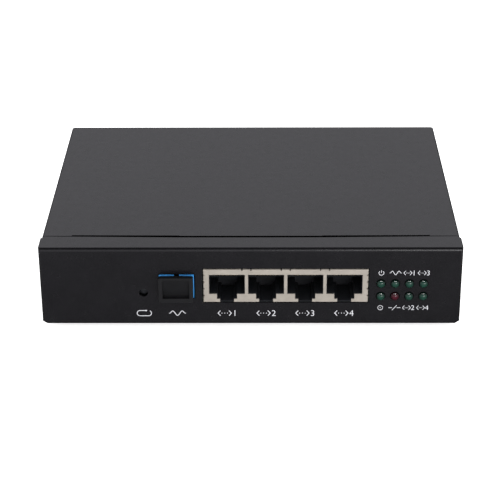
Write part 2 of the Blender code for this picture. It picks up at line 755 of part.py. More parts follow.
def make_receptacle():
    """The blue socket: keyed at the top, with two feet on the board."""
    low_z = OPTIC_Z - OPTIC_H / 2
    high_z = OPTIC_Z + OPTIC_H / 2
    half = OPTIC_W / 2
    back = FRONT_Y + OPTIC_D
    floor = FRONT_Y + SOCKET_D
    body = box((OPTIC_X - half, FRONT_Y, low_z), (OPTIC_X + half, back, high_z))
    section = round_rectangle((OPTIC_X, OPTIC_Z), SOCKET_W, SOCKET_H, 0.3, 1)
    socket = prism(section, FRONT_Y - 1, floor, "Y")
    key = box((OPTIC_X - KEY_W / 2, FRONT_Y - 1, OPTIC_Z), (OPTIC_X + KEY_W / 2, FRONT_Y + KEY_D, high_z + 1))
    bore = rod((OPTIC_X, OPTIC_Z), SLEEVE_R + 0.1, floor - 1, back + 1, "Y", 12)
    foot_w, foot_d = OPTIC_FOOT
    steps = []
    for y in OPTIC_FEET_YS:
        middle = (OPTIC_X, FRONT_Y + y, (SEAT_Z + low_z + 0.5) / 2)
        foot = block(middle, (foot_w, foot_d, low_z + 0.5 - SEAT_Z))
        steps.append(("join", foot))
    steps += [("cut", socket), ("cut", key), ("cut", bore)]
    place("optical_receptacle", shaped(body, *steps), "optic_blue")


def make_optics():
    """The ceramic sleeve in the socket, and the two-way optical assembly behind it."""
    sleeve = rod((0, 0), SLEEVE_R, 0, SLEEVE_LENGTH, "Y", 12)
    mouth = rod((0, 0), SLEEVE_BORE_R, -1, SLEEVE_BORE_D, "Y", 12)
    at = (OPTIC_X, FRONT_Y + SLEEVE_SETBACK, OPTIC_Z)
    place("alignment_sleeve", shaped(sleeve, ("cut", mouth)), "ceramic", at)

    back = FRONT_Y + OPTIC_D + 0.2
    block_front, block_back = OPTIC_BLOCK_YS
    block_middle = (block_front + block_back) / 2
    barrel = rod((OPTIC_X, OPTIC_Z), BARREL_R, back, back + BARREL_D, "Y", 16)
    block_size = (OPTIC_BLOCK_SIDE, block_back - block_front, OPTIC_BLOCK_SIDE)
    body = block((OPTIC_X, back + block_middle, OPTIC_Z), block_size)
    place("optical_body", shaped(barrel, ("join", body)), "steel")
    can = [(0, 0), (CAN_RIM_R, 0), (CAN_RIM_R, CAN_RIM_H), (CAN_R, CAN_RIM_H)]
    can += [(CAN_R, CAN_H - 0.3), (CAN_R - 0.3, CAN_H), (0, CAN_H)]
    mesh = shaped(turned(can, 16))
    seat = CAN_H + 0.2
    place("laser_can", mesh, "gold", (OPTIC_X, back + block_back + seat, OPTIC_Z), (math.pi / 2, 0, 0))
    at = (OPTIC_X + OPTIC_BLOCK_SIDE / 2 + seat, back + block_middle, OPTIC_Z)
    place("receiver_can", mesh.copy(), "steel", at, (0, -math.pi / 2, 0))


def make_dust_plug():
    """A flanged plug with a sloping finger pocket. Its hollow neck slides over the sleeve."""
    thick = PLUG_FLANGE_T
    outline = round_rectangle((0, 0), PLUG_FLANGE_W, PLUG_FLANGE_H, PLUG_FLANGE_CORNER, 3)
    flange = prism(outline, 0, thick, "Y")
    low, high = POCKET_ZS
    slope = [(-1, high), (0.05, high), (POCKET_DEPTH, low), (-1, low)]
    pocket = prism(slope, -POCKET_W / 2, POCKET_W / 2, "X")
    neck_w = SOCKET_W - 2 * PLUG_CLEARANCE
    neck_h = SOCKET_H - 2 * PLUG_CLEARANCE
    reach = PLUG_PROUD + PLUG_REACH
    neck = prism(round_rectangle((0, 0), neck_w, neck_h, 0.5, 2), thick - 0.3, reach, "Y")
    hollow = rod((0, 0), PLUG_BORE_R, reach - PLUG_BORE_D, reach + 1, "Y", 16)
    mesh = shaped(flange, ("join", neck), ("cut", pocket), ("cut", hollow))
    place("dust_plug", mesh, "plug_plastic", (PLUG_X, FRONT_Y - PLUG_PROUD, PLUG_Z))


# Lamps, reset switch and power inlet


def lamp_mesh(height, lead_run):
    """A round-nosed lamp lying along Y. Its two leads run back and bend down to the board."""
    tube = LAMP_FLANGE_Y - FRONT_Y + LAMP_PROUD
    nose = [(LAMP_R * math.cos(math.radians(a)), LAMP_R * math.sin(math.radians(a))) for a in (0, 30, 60, 90)]
    profile = [(0, -1), (LAMP_FLANGE_R, -1), (LAMP_FLANGE_R, 0), (LAMP_R, 0)]
    profile += [(r, tube - LAMP_R + rise) for r, rise in nose[:-1]] + [(0, tube)]
    lamp = turned(profile, 14)
    bmesh.ops.rotate(lamp, verts=lamp.verts, cent=(0, 0, 0), matrix=Matrix.Rotation(math.pi / 2, 3, "X"))
    half = LEAD_SIDE / 2
    steps = []
    for x in (-LEAD_PITCH / 2, LEAD_PITCH / 2):
        outline = [(0.5, half), (0.5, -half), (lead_run - LEAD_SIDE, -half), (lead_run - LEAD_SIDE, -height)]
        outline += [(lead_run, -height), (lead_run, half)]
        steps.append(("join", prism(outline, x - half, x + half, "X")))
    return shaped(lamp, *steps)


def make_lamps():
    """Two rows of four. The second lamp of the lower row is red, and the rest are green."""
    number = 0
    for row, z in enumerate(LAMP_ROWS):
        mesh = lamp_mesh(z - BOARD_TOP - 0.05, LEAD_RUNS[row])
        red_mesh = mesh.copy()
        for column, x in enumerate(LAMP_XS):
            number += 1
            is_red = row == 1 and column == 1
            chosen = red_mesh if is_red else mesh
            at = (x, LAMP_FLANGE_Y, z)
            place(f"indicator_lamp_{number}", chosen, "lamp_red" if is_red else "lamp_green", at)


def make_lamp_holder():
    """A bored block behind the panel that keeps the lamps in line, on two feet."""
    front = FRONT_Y + SHEET + 0.3
    back = LAMP_FLANGE_Y - 0.1
    left = LAMP_XS[0] - HOLDER_MARGIN_X
    right = LAMP_XS[-1] + HOLDER_MARGIN_X
    body = box((left, front, LAMP_ROWS[1] - HOLDER_MARGIN_Z), (right, back, LAMP_ROWS[0] + HOLDER_MARGIN_Z))
    steps = []
    for x in (left, right - HOLDER_FOOT_W):
        steps.append(("join", box((x, front + 0.1, SEAT_Z), (x + HOLDER_FOOT_W, back - 0.1, LAMP_ROWS[1]))))
    for x in LAMP_XS:
        for z in LAMP_ROWS:
            steps.append(("cut", rod((x, z), LAMP_R + 0.1, front - 1, back + 1, "Y", 14)))
    place("lamp_holder", shaped(body, *steps), "black_plastic")


def make_reset_switch():
    """A side-facing switch on the board, and the cap that slides in it behind the panel's hole."""
    half = RESET_BODY_W / 2
    back = RESET_BODY_Y + RESET_BODY_D
    body = box((RESET_X - half, RESET_BODY_Y, SEAT_Z), (RESET_X + half, back, RESET_Z + RESET_BODY_RISE))
    bore_end = RESET_BODY_Y + RESET_BORE_D
    bore = rod((RESET_X, RESET_Z), RESET_CAP_R + 0.15, RESET_BODY_Y - 1, bore_end, "Y")
    place("reset_switch_body", shaped(body, ("cut", bore)), "black_plastic")
    profile = [(0, 0), (RESET_CAP_R, 0), (RESET_CAP_R, RESET_CAP_L - 0.3), (RESET_CAP_R - 0.3, RESET_CAP_L)]
    cap = turned(profile + [(0, RESET_CAP_L)])
    at = (RESET_X, RESET_BODY_Y + RESET_SEAT, RESET_Z)
    place("reset_button", shaped(cap), "black_plastic", at, (math.pi / 2, 0, 0))


def make_power_inlet():
    """A barrel socket at the rear with its centre pin."""
    rear = REAR_Y + INLET_PROUD
    front = rear - INLET_D
    half = INLET_W / 2
    body = box((INLET_X - half, front, SEAT_Z), (INLET_X + half, rear, SEAT_Z + INLET_H))
    bevel_where(body, lambda p: p.z > SEAT_Z + INLET_H - 0.01 and p.y > rear - 0.01, 0.4, 1)
    bore = rod((INLET_X, INLET_Z), INLET_BORE_R, rear - INLET_BORE_D, rear + 1, "Y", 20)
    pin_hole = rod((INLET_X, INLET_Z), INLET_PIN_R + 0.1, front - 1, rear - INLET_BORE_D + 1, "Y", 12)
    place("power_inlet", shaped(body, ("cut", bore), ("cut", pin_hole)), "black_plastic")
    length = INLET_D - 1.0
    profile = [(0, 0), (INLET_PIN_R, 0), (INLET_PIN_R, length - 0.6), (INLET_PIN_R / 2, length), (0, length)]
    pin = shaped(turned(profile, 12))
    place("power_pin", pin, "steel", (INLET_X, front + 0.2, INLET_Z), (-math.pi / 2, 0, 0))


def main():
    clear_scene()
    make_chassis()
    make_cover()
    make_side_screws()
    make_feet()
    make_board()
    make_board_fixings()
    make_board_parts()
    make_jack()
    make_contact_inserts()
    make_receptacle()
    make_optics()
    make_dust_plug()
    make_lamps()
    make_lamp_holder()
    make_reset_switch()
    make_power_inlet()


main()
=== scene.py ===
"""The looks of a small optical network terminal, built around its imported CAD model.

Sizes are in millimetres and MM makes them metres. Places come from the boxes of the CAD nodes.
"""

import math

import bmesh
import bpy
from mathutils import Matrix, Vector


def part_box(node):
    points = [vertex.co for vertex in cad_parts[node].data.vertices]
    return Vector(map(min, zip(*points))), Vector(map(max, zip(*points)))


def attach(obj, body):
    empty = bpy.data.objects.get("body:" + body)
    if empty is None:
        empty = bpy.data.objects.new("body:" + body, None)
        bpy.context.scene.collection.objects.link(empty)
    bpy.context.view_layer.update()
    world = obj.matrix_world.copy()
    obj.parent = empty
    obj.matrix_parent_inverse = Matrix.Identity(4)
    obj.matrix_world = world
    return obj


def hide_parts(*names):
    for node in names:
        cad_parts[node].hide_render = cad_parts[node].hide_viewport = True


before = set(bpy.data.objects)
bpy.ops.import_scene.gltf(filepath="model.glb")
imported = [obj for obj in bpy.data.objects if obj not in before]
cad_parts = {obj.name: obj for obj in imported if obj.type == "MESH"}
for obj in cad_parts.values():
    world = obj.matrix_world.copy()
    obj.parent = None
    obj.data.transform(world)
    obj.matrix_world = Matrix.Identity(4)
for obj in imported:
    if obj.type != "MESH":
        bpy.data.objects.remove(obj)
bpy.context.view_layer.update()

MM = 0.001


def box(node):
    """The lowest and highest corner of a CAD node, in millimetres."""
    low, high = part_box(node)
    return low / MM, high / MM


def middle(node):
    low, high = box(node)
    return (low + high) / 2


# What the case's parts share. The front panel bends back to a lip LIP_D deep, and the cover follows.
CASE_LOW, CASE_HIGH = box("chassis")
FRONT, REAR = CASE_LOW.y, CASE_HIGH.y
BASE, TOP = CASE_LOW.z, CASE_HIGH.z
HALF_W = CASE_HIGH.x
SHEET = 0.8
GAP = 0.3
FLOOR = BASE + SHEET
LIP_D = 9.8
COVER_GAP = 0.8
LIP_Y = FRONT + LIP_D
COVER_Y = LIP_Y + COVER_GAP
COVER_HALF = box("top_cover")[1].x
BASE_HALF = COVER_HALF - SHEET - GAP
# Radius of the bend to the lip, and of the panel's bends at its sides and foot
BEND = 1.4
EDGE_BEND = 0.8
OPTIC_HEIGHT = 9.35

SIDES = (-1, 1)
# The tent's roof leans to the front. Its brightness follows the angle from the middle of the roof.
ROOF_LEAN = 18.0
TENT = (
    (180, 0.1),
    (100, 0.12),
    (94, 0.4),
    (88, 0.6),
    (82, 0.7),
    (62, 0.7),
    (54, 0.56),
    (46, 0.03),
    (0, 0.02),
)
LAMPS = [f"indicator_lamp_{n}" for n in range(1, 9)]
RED_LAMP = "indicator_lamp_6"
PORTS = [f"contact_insert_{n}" for n in range(1, 5)]
SIDE_SCREWS = [f"side_screw_{n}" for n in range(1, 5)]
FEET = [f"rubber_foot_{n}" for n in range(1, 5)]


# Shapes, in millimetres


def point(axis, a, b, along):
    """A point of an outline in the plane across an axis, at a place along it, in metres."""
    orders = {"X": (along, a, b), "Y": (a, along, b), "Z": (a, b, along)}
    return Vector(orders[axis]) * MM


def prism(outline, low, high, axis):
    """An outline of (a, b) points pushed from low to high along an axis."""
    bm = bmesh.new()
    face = bm.faces.new([bm.verts.new(point(axis, a, b, low)) for a, b in outline])
    made = bmesh.ops.extrude_face_region(bm, geom=[face])["geom"]
    ends = [item for item in made if isinstance(item, bmesh.types.BMVert)]
    bmesh.ops.translate(bm, verts=ends, vec=point(axis, 0, 0, high - low))
    bmesh.ops.recalc_face_normals(bm, faces=bm.faces)
    return bm


def brick(low, high):
    outline = ((low[0], low[1]), (high[0], low[1]), (high[0], high[1]), (low[0], high[1]))
    return prism(outline, low[2], high[2], "Z")


def arc(centre, radius, start, end, steps):
    """Points of an arc, both ends included. The angles are in degrees."""
    angles = [math.radians(start + (end - start) * i / steps) for i in range(steps + 1)]
    return [(centre[0] + radius * math.cos(a), centre[1] + radius * math.sin(a)) for a in angles]


def round_rectangle(centre, width, height, radius, steps=5):
    reach_a = width / 2 - radius
    reach_b = height / 2 - radius
    points = []
    for start, (a, b) in zip((0, 90, 180, 270), ((1, 1), (-1, 1), (-1, -1), (1, -1))):
        corner = (centre[0] + a * reach_a, centre[1] + b * reach_b)
        points += arc(corner, radius, start, start + 90, steps)
    return points


def rod(centre, radius, low, high, axis, steps=40):
    return prism(arc(centre, radius, 0, 360 * (steps - 1) / steps, steps - 1), low, high, axis)


def turned(profile, steps=48):
    """A solid of revolution about Z from (radius, height) points that start and end on the axis."""
    bm = bmesh.new()
    verts = [bm.verts.new(Vector((radius, 0, height)) * MM) for radius, height in profile]
    edges = [bm.edges.new(pair) for pair in zip(verts, verts[1:])]
    full = 2 * math.pi
    geom = verts + edges
    bmesh.ops.spin(bm, geom=geom, cent=(0, 0, 0), axis=(0, 0, 1), angle=full, steps=steps, use_merge=True)
    bmesh.ops.remove_doubles(bm, verts=bm.verts, dist=0.001 * MM)
    bmesh.ops.recalc_face_normals(bm, faces=bm.faces)
    return bm


def thick_line(points, width):
    """The outline of a line of that width through the points, mitred at its corners."""
    path = [Vector(p) for p in points]
    left = []
    right = []
    for i, here in enumerate(path):
        before = (here - path[i - 1]).normalized() if i else (path[1] - here).normalized()
        after = (path[i + 1] - here).normalized() if i + 1 < len(path) else before
        bisector = (before + after).normalized()
        across = Vector((-bisector.y, bisector.x))
        reach = width / 2 / max(0.3, across.dot(Vector((-before.y, before.x))))
        left.append(tuple(here + across * reach))
        right.append(tuple(here - across * reach))
    return left + right[::-1]


def edge_middle(edge):
    return (edge.verts[0].co + edge.verts[1].co) / 2 / MM


def bevel_where(bm, test, width, segments):
    """Bevels the edges whose middle passes a test of its place in millimetres."""
    edges = [e for e in bm.edges if test(edge_middle(e))]
    bmesh.ops.bevel(
        bm, geom=edges, offset=width * MM, segments=segments, profile=0.5, affect="EDGES", clamp_overlap=True
    )
    return bm


def joined(*shapes):
    """Several shapes as one, each left as it is."""
    whole = bmesh.new()
    for shape in shapes:
        mesh = bpy.data.meshes.new("part")
        shape.to_mesh(mesh)
        shape.free()
        whole.from_mesh(mesh)
        bpy.data.meshes.remove(mesh)
    return whole


def temporary(bm):
    mesh = bpy.data.meshes.new("temporary")
    bm.to_mesh(mesh)
    bm.free()
    obj = bpy.data.objects.new("temporary", mesh)
    bpy.context.scene.collection.objects.link(obj)
    return obj


def rounded(bm, radius_of, segments):
    """The shape with each edge rounded to the radius that radius_of gives for its middle."""
    radii = [radius_of(edge_middle(edge)) for edge in bm.edges]
    layer = bm.edges.layers.float.new("bevel_weight_edge")
    for edge, radius in zip(bm.edges, radii):
        edge[layer] = radius / max(radii)
    obj = temporary(bm)
    soften = obj.modifiers.new("round", "BEVEL")
    soften.width = max(radii) * MM
    soften.segments = segments
    soften.limit_method = "WEIGHT"
    graph = bpy.context.evaluated_depsgraph_get()
    made = bmesh.new()
    made.from_mesh(obj.evaluated_get(graph).to_mesh())
    bpy.data.objects.remove(obj)
    return made


def shaped(base, *steps, ease=0.0, segments=2):
    """The base after each step, a ("join", shape) or a ("cut", shape), with its sharp edges eased."""
    keeper = temporary(base)
    helpers = []
    for action, shape in steps:
        tool = temporary(shape)
        helpers.append(tool)
        modifier = keeper.modifiers.new(action, "BOOLEAN")
        modifier.operation = "UNION" if action == "join" else "DIFFERENCE"
        modifier.solver = "EXACT"
        modifier.object = tool
    if ease:
        soften = keeper.modifiers.new("ease", "BEVEL")
        soften.width = ease * MM
        soften.segments = segments
        soften.limit_method = "ANGLE"
        soften.angle_limit = math.radians(40)
        soften.miter_outer = "MITER_ARC"
    graph = bpy.context.evaluated_depsgraph_get()
    mesh = bpy.data.meshes.new_from_object(keeper.evaluated_get(graph))
    for obj in [keeper, *helpers]:
        bpy.data.objects.remove(obj)
    return mesh


def moved(bm, offset=(0, 0, 0), turn=None):
    """A shape turned about the origin, then moved by millimetres."""
    if turn is not None:
        bmesh.ops.transform(bm, matrix=turn, verts=bm.verts)
    bmesh.ops.translate(bm, verts=bm.verts, vec=Vector(offset) * MM)
    return bm


def piece(name, mesh, finish, body="case", replaces=()):
    """A shown piece on a body of the model. It may stand for CAD nodes."""
    if isinstance(mesh, bmesh.types.BMesh):
        mesh = shaped(mesh)
    mesh.materials.clear()
    mesh.materials.append(finish)
    mesh.shade_smooth()
    mesh.set_sharp_from_angle(angle=math.radians(38))
    obj = bpy.data.objects.new(name, mesh)
    bpy.context.scene.collection.objects.link(obj)
    even = obj.modifiers.new("even_shading", "WEIGHTED_NORMAL")
    even.keep_sharp = True
    even.weight = 100
    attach(obj, body)
    if replaces:
        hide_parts(*replaces)
    return obj


# Surfaces


class Finish:
    """A Principled material, and the nodes that vary it over a surface."""

    def __init__(self, name, slot, colour, roughness, **sockets):
        self.material = bpy.data.materials.new(name)
        self.material["slot"] = slot
        self.material.use_nodes = True
        self.tree = self.material.node_tree
        self.shader = self.tree.nodes["Principled BSDF"]
        self.colour = colour
        self.set("Base Color", (*colour, 1.0))
        self.set("Roughness", roughness)
        for socket, value in sockets.items():
            self.set(socket.replace("_", " "), value)

    def set(self, socket, value):
        self.shader.inputs[socket].default_value = value

    def node(self, kind, **settings):
        made = self.tree.nodes.new("ShaderNode" + kind)
        for key, value in settings.items():
            setattr(made, key, value)
        return made

    def link(self, source, target):
        self.tree.links.new(source, target)

    def noise(self, size, detail=2.0, stretch=(1, 1, 1)):
        """Noise whose features are about size across, and longer along an axis with a stretch over 1."""
        place = self.node("TexCoord")
        scale = self.node("Mapping")
        scale.inputs["Scale"].default_value = [1 / (size * MM * s) for s in stretch]
        pattern = self.node("TexNoise")
        pattern.inputs["Scale"].default_value = 1.0
        pattern.inputs["Detail"].default_value = detail
        self.link(place.outputs["Object"], scale.inputs["Vector"])
        self.link(scale.outputs["Vector"], pattern.inputs["Vector"])
        return pattern.outputs["Fac"]

    def spread(self, value, low, high):
        """A noise's middle range spread over low to high."""
        spread = self.node("MapRange")
        spread.inputs["From Min"].default_value = 0.3
        spread.inputs["From Max"].default_value = 0.7
        spread.inputs["To Min"].default_value = low
        spread.inputs["To Max"].default_value = high
        self.link(value, spread.inputs["Value"])
        return spread.outputs["Result"]

    def tint(self, value, amount):
        """Makes the colour lighter and darker by amount, as a share of it."""
        mix = self.node("Mix", data_type="RGBA")
        dark = [c * (1 - amount) for c in self.colour]
        light = [c * (1 + amount) for c in self.colour]
        mix.inputs["A"].default_value = (*dark, 1.0)
        mix.inputs["B"].default_value = (*light, 1.0)
        self.link(self.spread(value, 0, 1), mix.inputs["Factor"])
        self.link(mix.outputs["Result"], self.shader.inputs["Base Color"])

    def roughen(self, value, low, high):
        self.link(self.spread(value, low, high), self.shader.inputs["Roughness"])

    def bump(self, value, height):
        """Raises the surface by height, in millimetres. A second call adds to the first."""
        bump = self.node("Bump")
        bump.inputs["Distance"].default_value = height * MM
        bump.inputs["Strength"].default_value = 1.0
        self.link(value, bump.inputs["Height"])
        before = self.shader.inputs["Normal"]
        if before.is_linked:
            self.link(before.links[0].from_socket, bump.inputs["Normal"])
        self.link(bump.outputs["Normal"], before)


def powder_coat():
    """Fine-textured black paint: a slight orange peel, with faint patches of sheen."""
    made = Finish("powder_coat", "case_paint", (0.004, 0.0037, 0.0048), 0.25)
    made.tint(made.noise(9, 3), 0.18)
    made.roughen(made.noise(2.5, 4), 0.22, 0.28)
    made.bump(made.noise(0.7, 2), 0.012)
    made.bump(made.noise(0.16, 1), 0.009)
    return made.material


def plastic(name, slot, colour, roughness, grain=0.2, depth=0.006, **sockets):
    """Moulded plastic with a spark-eroded grain."""
    made = Finish(name, slot, colour, roughness, **sockets)
    made.tint(made.noise(4, 3), 0.1)
    made.roughen(made.noise(0.8, 3), roughness * 0.88, roughness * 1.12)
    made.bump(made.noise(grain, 2), depth)
    return made.material


def plate(name, slot, colour, roughness, along=(1, 1, 1), depth=0.002, metallic=1.0):
    """Sheet or turned metal with fine drawn lines along an axis and faint blotches."""
    made = Finish(name, slot, colour, roughness, Metallic=metallic)
    made.tint(made.noise(3, 3), 0.07)
    made.roughen(made.noise(0.3, 3, along), roughness * 0.75, roughness * 1.25)
    made.bump(made.noise(0.12, 2, along), depth)
    return made.material


def lamp_resin(name, slot, colour):
    """Tinted epoxy, glossy and slightly cloudy. Its sides are painted darker: a painted shade standing for
    the dark of the hole it fills.
    """
    made = Finish(name, slot, colour, 0.09, IOR=1.5, Specular_IOR_Level=0.4)
    geometry = made.node("NewGeometry")
    parts = made.node("SeparateXYZ")
    made.link(geometry.outputs["Normal"], parts.inputs["Vector"])
    # Painted shade: where the lens turns away from the front, its colour is painted down to 0.15 of itself.
    # Only the nose keeps the full colour.
    nose = made.node("MapRange")
    nose.inputs["From Min"].default_value = -0.68
    nose.inputs["From Max"].default_value = -0.97
    made.link(parts.outputs["Y"], nose.inputs["Value"])
    mix = made.node("Mix", data_type="RGBA")
    mix.inputs["A"].default_value = (*[c * 0.15 for c in colour], 1.0)
    mix.inputs["B"].default_value = (*colour, 1.0)
    made.link(nose.outputs["Result"], mix.inputs["Factor"])
    cloud = made.node("Mix", data_type="RGBA", blend_type="MULTIPLY")
    cloud.inputs["Factor"].default_value = 0.4
    made.link(mix.outputs["Result"], cloud.inputs["A"])
    made.link(made.noise(0.6, 2), cloud.inputs["B"])
    made.link(cloud.outputs["Result"], made.shader.inputs["Base Color"])
    made.bump(made.noise(0.5, 1), 0.002)
    return made.material


def circuit_board():
    """Green solder mask over copper tracks that run on a fine grid."""
    made = Finish("solder_mask", "board_green", (0.008, 0.085, 0.035), 0.3)
    place = made.node("TexCoord")
    scale = made.node("Mapping")
    scale.inputs["Scale"].default_value = (1 / (2.6 * MM),) * 3
    tracks = made.node("TexBrick", offset=0.37, squash=0.6, squash_frequency=3)
    tracks.inputs["Color1"].default_value = (0, 0, 0, 1)
    tracks.inputs["Color2"].default_value = (0.25, 0.25, 0.25, 1)
    tracks.inputs["Mortar"].default_value = (1, 1, 1, 1)
    tracks.inputs["Mortar Size"].default_value = 0.05
    tracks.inputs["Mortar Smooth"].default_value = 0.2
    tracks.inputs["Scale"].default_value = 1.0
    made.link(place.outputs["Object"], scale.inputs["Vector"])
    made.link(scale.outputs["Vector"], tracks.inputs["Vector"])
    mix = made.node("Mix", data_type="RGBA")
    mix.inputs["A"].default_value = (0.006, 0.07, 0.028, 1)
    mix.inputs["B"].default_value = (0.02, 0.17, 0.06, 1)
    made.link(tracks.outputs["Color"], mix.inputs["Factor"])
    made.link(mix.outputs["Result"], made.shader.inputs["Base Color"])
    made.bump(tracks.outputs["Color"], 0.03)
    made.roughen(made.noise(3, 2), 0.25, 0.35)
    return made.material


COAT = powder_coat()
PRINT = plastic("white_ink", "case_paint", (0.52, 0.52, 0.55), 0.5, 0.3, 0.004)
SCREW = plate("black_zinc", "black_screw", (0.05, 0.05, 0.055), 0.35)
RUBBER = plastic("foot_rubber", "rubber", (0.018, 0.018, 0.018), 0.8, 0.35, 0.01)
SHIELD = plate("tin_plate", "jack_shield", (0.44, 0.4, 0.35), 0.4, (6, 6, 1), 0.0015, 0.55)
BLACK = plastic("black_nylon", "black_plastic", (0.012, 0.013, 0.016), 0.5, Specular_IOR_Level=0.3)
GOLD = plate("gold_flash", "gold", (0.83, 0.6, 0.25), 0.25, (1, 8, 8), 0.001)
BLUE = plastic("blue_plastic", "optic_blue", (0.03, 0.24, 0.6), 0.35, 0.3, 0.004)
PLUG_BLACK = (0.0055, 0.0055, 0.0065)
PLUG = plastic("plug_plastic", "plug_plastic", PLUG_BLACK, 0.5, 0.25, 0.008, Specular_IOR_Level=0.3)
CERAMIC = plastic("zirconia", "ceramic", (0.82, 0.8, 0.76), 0.2, 0.5, 0.001)
STEEL = plate("bright_steel", "steel", (0.56, 0.56, 0.57), 0.3)
GREEN_RESIN = lamp_resin("green_resin", "lamp_green", (0.009, 0.034, 0.024))
RED_RESIN = lamp_resin("red_resin", "lamp_red", (0.038, 0.005, 0.01))
BOARD = circuit_board()
EPOXY = plastic("chip_epoxy", "chip_black", (0.02, 0.02, 0.022), 0.55, 0.12, 0.005)
PAD = plastic("gap_filler", "thermal_grey", (0.3, 0.32, 0.35), 0.9, 0.6, 0.02)
ALUMINIUM = plate("satin_aluminium", "aluminium", (0.7, 0.7, 0.72), 0.38, (1, 6, 1))
BRASS = plate("turned_brass", "brass", (0.7, 0.5, 0.2), 0.3, (8, 8, 1))


# Case

# A cut from -THROUGH to THROUGH goes through both sides of the case.
THROUGH = 80.0
# What is clipped off the bottom corners of the front panel, and off the back corners of its lip
PANEL_CLIP_W = 1.6
PANEL_CLIP_H = 1.0
LIP_CLIP_W = 1.2
LIP_CLIP_D = 1.8
# The lip's back edge stops this short of the panel's sides, and the cover's notch of the cover's.
LIP_END = 2.2
NOTCH_END = 10.8
# The seam behind the lip bows to the front, and a shorter run in its middle steps further to the front.
SEAM_BOW = 0.35
SEAM_BOW_REACH = 65
SEAM_STEP = 0.6
SEAM_STEP_REACH = 25.5
# Both edges of the seam stand back by this much more.
SEAM_EASE = 0.1
REAR_FLANGE_D = 8
REAR_FLANGE_INSET = 4
SIDE_FLANGE_H = 6
SIDE_FLANGE_SETBACK = 5
# Ears for the side screws
EAR_HALF_W = 7
EAR_H = 15
EAR_CORNER = 2
EAR_HOLE_R = 1.65
COVER_HOLE_R = 1.7
# Cover
COVER_FOOT_GAP = 0.2
COVER_BEND = 1.2
TONGUE_XS = (-50, 0, 50)
TONGUE_HALF_W = 10
TONGUE_REACH = 5
TONGUE_OVERLAP = 3
# Each tongue steps down under the sheet over this stretch behind the cover's front edge.
JOGGLE_YS = (0.8, 2.8)
JOGGLE_HALF_W = 9.5
VENT_COUNT = 12
VENT_PITCH = 4.6
VENT_MIDDLE_Y = 5
VENT_Z = BASE + 18
VENT_W = 2
VENT_H = 9
VENT_CORNER = 0.99
# Side screws and feet
SCREW_HEAD_R = 2.7
SCREW_HEAD_H = 1.2
SCREW_SHANK_R = 1.4
SCREW_LENGTH = 5.0
SCREW_TURN = 25
FOOT_LOW_R = 4.1
FOOT_R = 4.9
# Windows in the front and rear
JACK_WINDOW_CORNER = 0.5
OPTIC_WINDOW_GAP = 0.25
OPTIC_WINDOW_CORNER = 0.4
INLET_WINDOW_CORNER = 0.4
RESET_HOLE_R = 1.6
LAMP_HOLE_R = 1.75
LAMP_FLANGE_R = 1.9
# Width of the bevel on the cut edges of sheet
SHEET_EASE = 0.12


def panel_outline(inset):
    """The front panel's outline in X and Z, drawn in by inset, with its bottom corners clipped flat."""
    half = HALF_W - inset
    low = BASE + inset
    high = TOP - inset
    shift = inset * (2 - math.sqrt(2))
    clip = PANEL_CLIP_W - shift
    rise = low + PANEL_CLIP_H - shift
    return [(-half, high), (-half, rise), (-half + clip, low), (half - clip, low), (half, rise), (half, high)]


def front_radius(p):
    """How far an edge of the front panel is rounded, from its place: most at the bend to the lip."""
    if p.y > FRONT + 0.01:
        return 0
    return BEND if p.z > TOP - 0.01 else EDGE_BEND


def lamp_place(name):
    """The lamp's axis in X and Z. Its flange is its highest part, and its leads run down."""
    return middle(name).x, box(name)[1].z - LAMP_FLANGE_R


def window(node, margin, radius):
    """The outline of a hole round a CAD node's box, seen along Y."""
    low, high = box(node)
    size = high - low
    centre = (low + high) / 2
    return round_rectangle((centre.x, centre.z), size.x + 2 * margin, size.z + 2 * margin, radius)


def front_windows():
    low = FRONT - 1
    high = FRONT + SHEET + 1
    shapes = [prism(window("jack_shield", GAP, JACK_WINDOW_CORNER), low, high, "Y")]
    optic_low, optic_high = box("optical_receptacle")
    centre = ((optic_low.x + optic_high.x) / 2, optic_high.z - OPTIC_HEIGHT / 2)
    width = optic_high.x - optic_low.x + 2 * OPTIC_WINDOW_GAP
    outline = round_rectangle(centre, width, OPTIC_HEIGHT + 2 * OPTIC_WINDOW_GAP, OPTIC_WINDOW_CORNER)
    shapes.append(prism(outline, low, high, "Y"))
    button = middle("reset_button")
    shapes.append(rod((button.x, button.z), RESET_HOLE_R, low, high, "Y"))
    for lamp in LAMPS:
        shapes.append(rod(lamp_place(lamp), LAMP_HOLE_R, low, high, "Y"))
    return shapes


def seam_bow(x):
    """How far the seam behind the lip bows to the front at a place along it."""
    wide = SEAM_BOW * max(0.0, 1 - (x / SEAM_BOW_REACH) ** 2)
    return wide + (SEAM_STEP if abs(x) < SEAM_STEP_REACH else 0)


def seam_line(y, reach, steps=68):
    """The seam's line from -reach to reach, as points in X and Y."""
    xs = [reach * (2 * i / steps - 1) for i in range(steps + 1)]
    for side in SIDES:
        xs += [side * (SEAM_STEP_REACH + 0.2), side * (SEAM_STEP_REACH - 0.1)]
    return [(x, y - seam_bow(x)) for x in sorted(xs)]


def lip_corner(side):
    """What is cut off a corner of the lip, at its back."""
    edge = side * HALF_W
    outline = [
        (edge + side, LIP_Y + 1),
        (edge - side * LIP_END, LIP_Y + 1),
        (edge - side * LIP_CLIP_W, LIP_Y),
        (edge, LIP_Y - LIP_CLIP_D),
        (edge + side, LIP_Y - LIP_CLIP_D),
    ]
    return prism(outline, TOP - 2.5 * SHEET, TOP + 1, "Z")


def screw_ear(side, y):
    """An ear that stands up from the base's side flange and takes a cover screw."""
    outer = side * BASE_HALF
    inner = outer - side * SHEET
    top = BASE + EAR_H - EAR_CORNER
    left = y - EAR_HALF_W
    right = y + EAR_HALF_W
    outline = [(left, BASE + 1), (right, BASE + 1)]
    outline += arc((right - EAR_CORNER, top), EAR_CORNER, 0, 90, 5)
    outline += arc((left + EAR_CORNER, top), EAR_CORNER, 90, 180, 5)
    return prism(outline, min(inner, outer), max(inner, outer), "X")


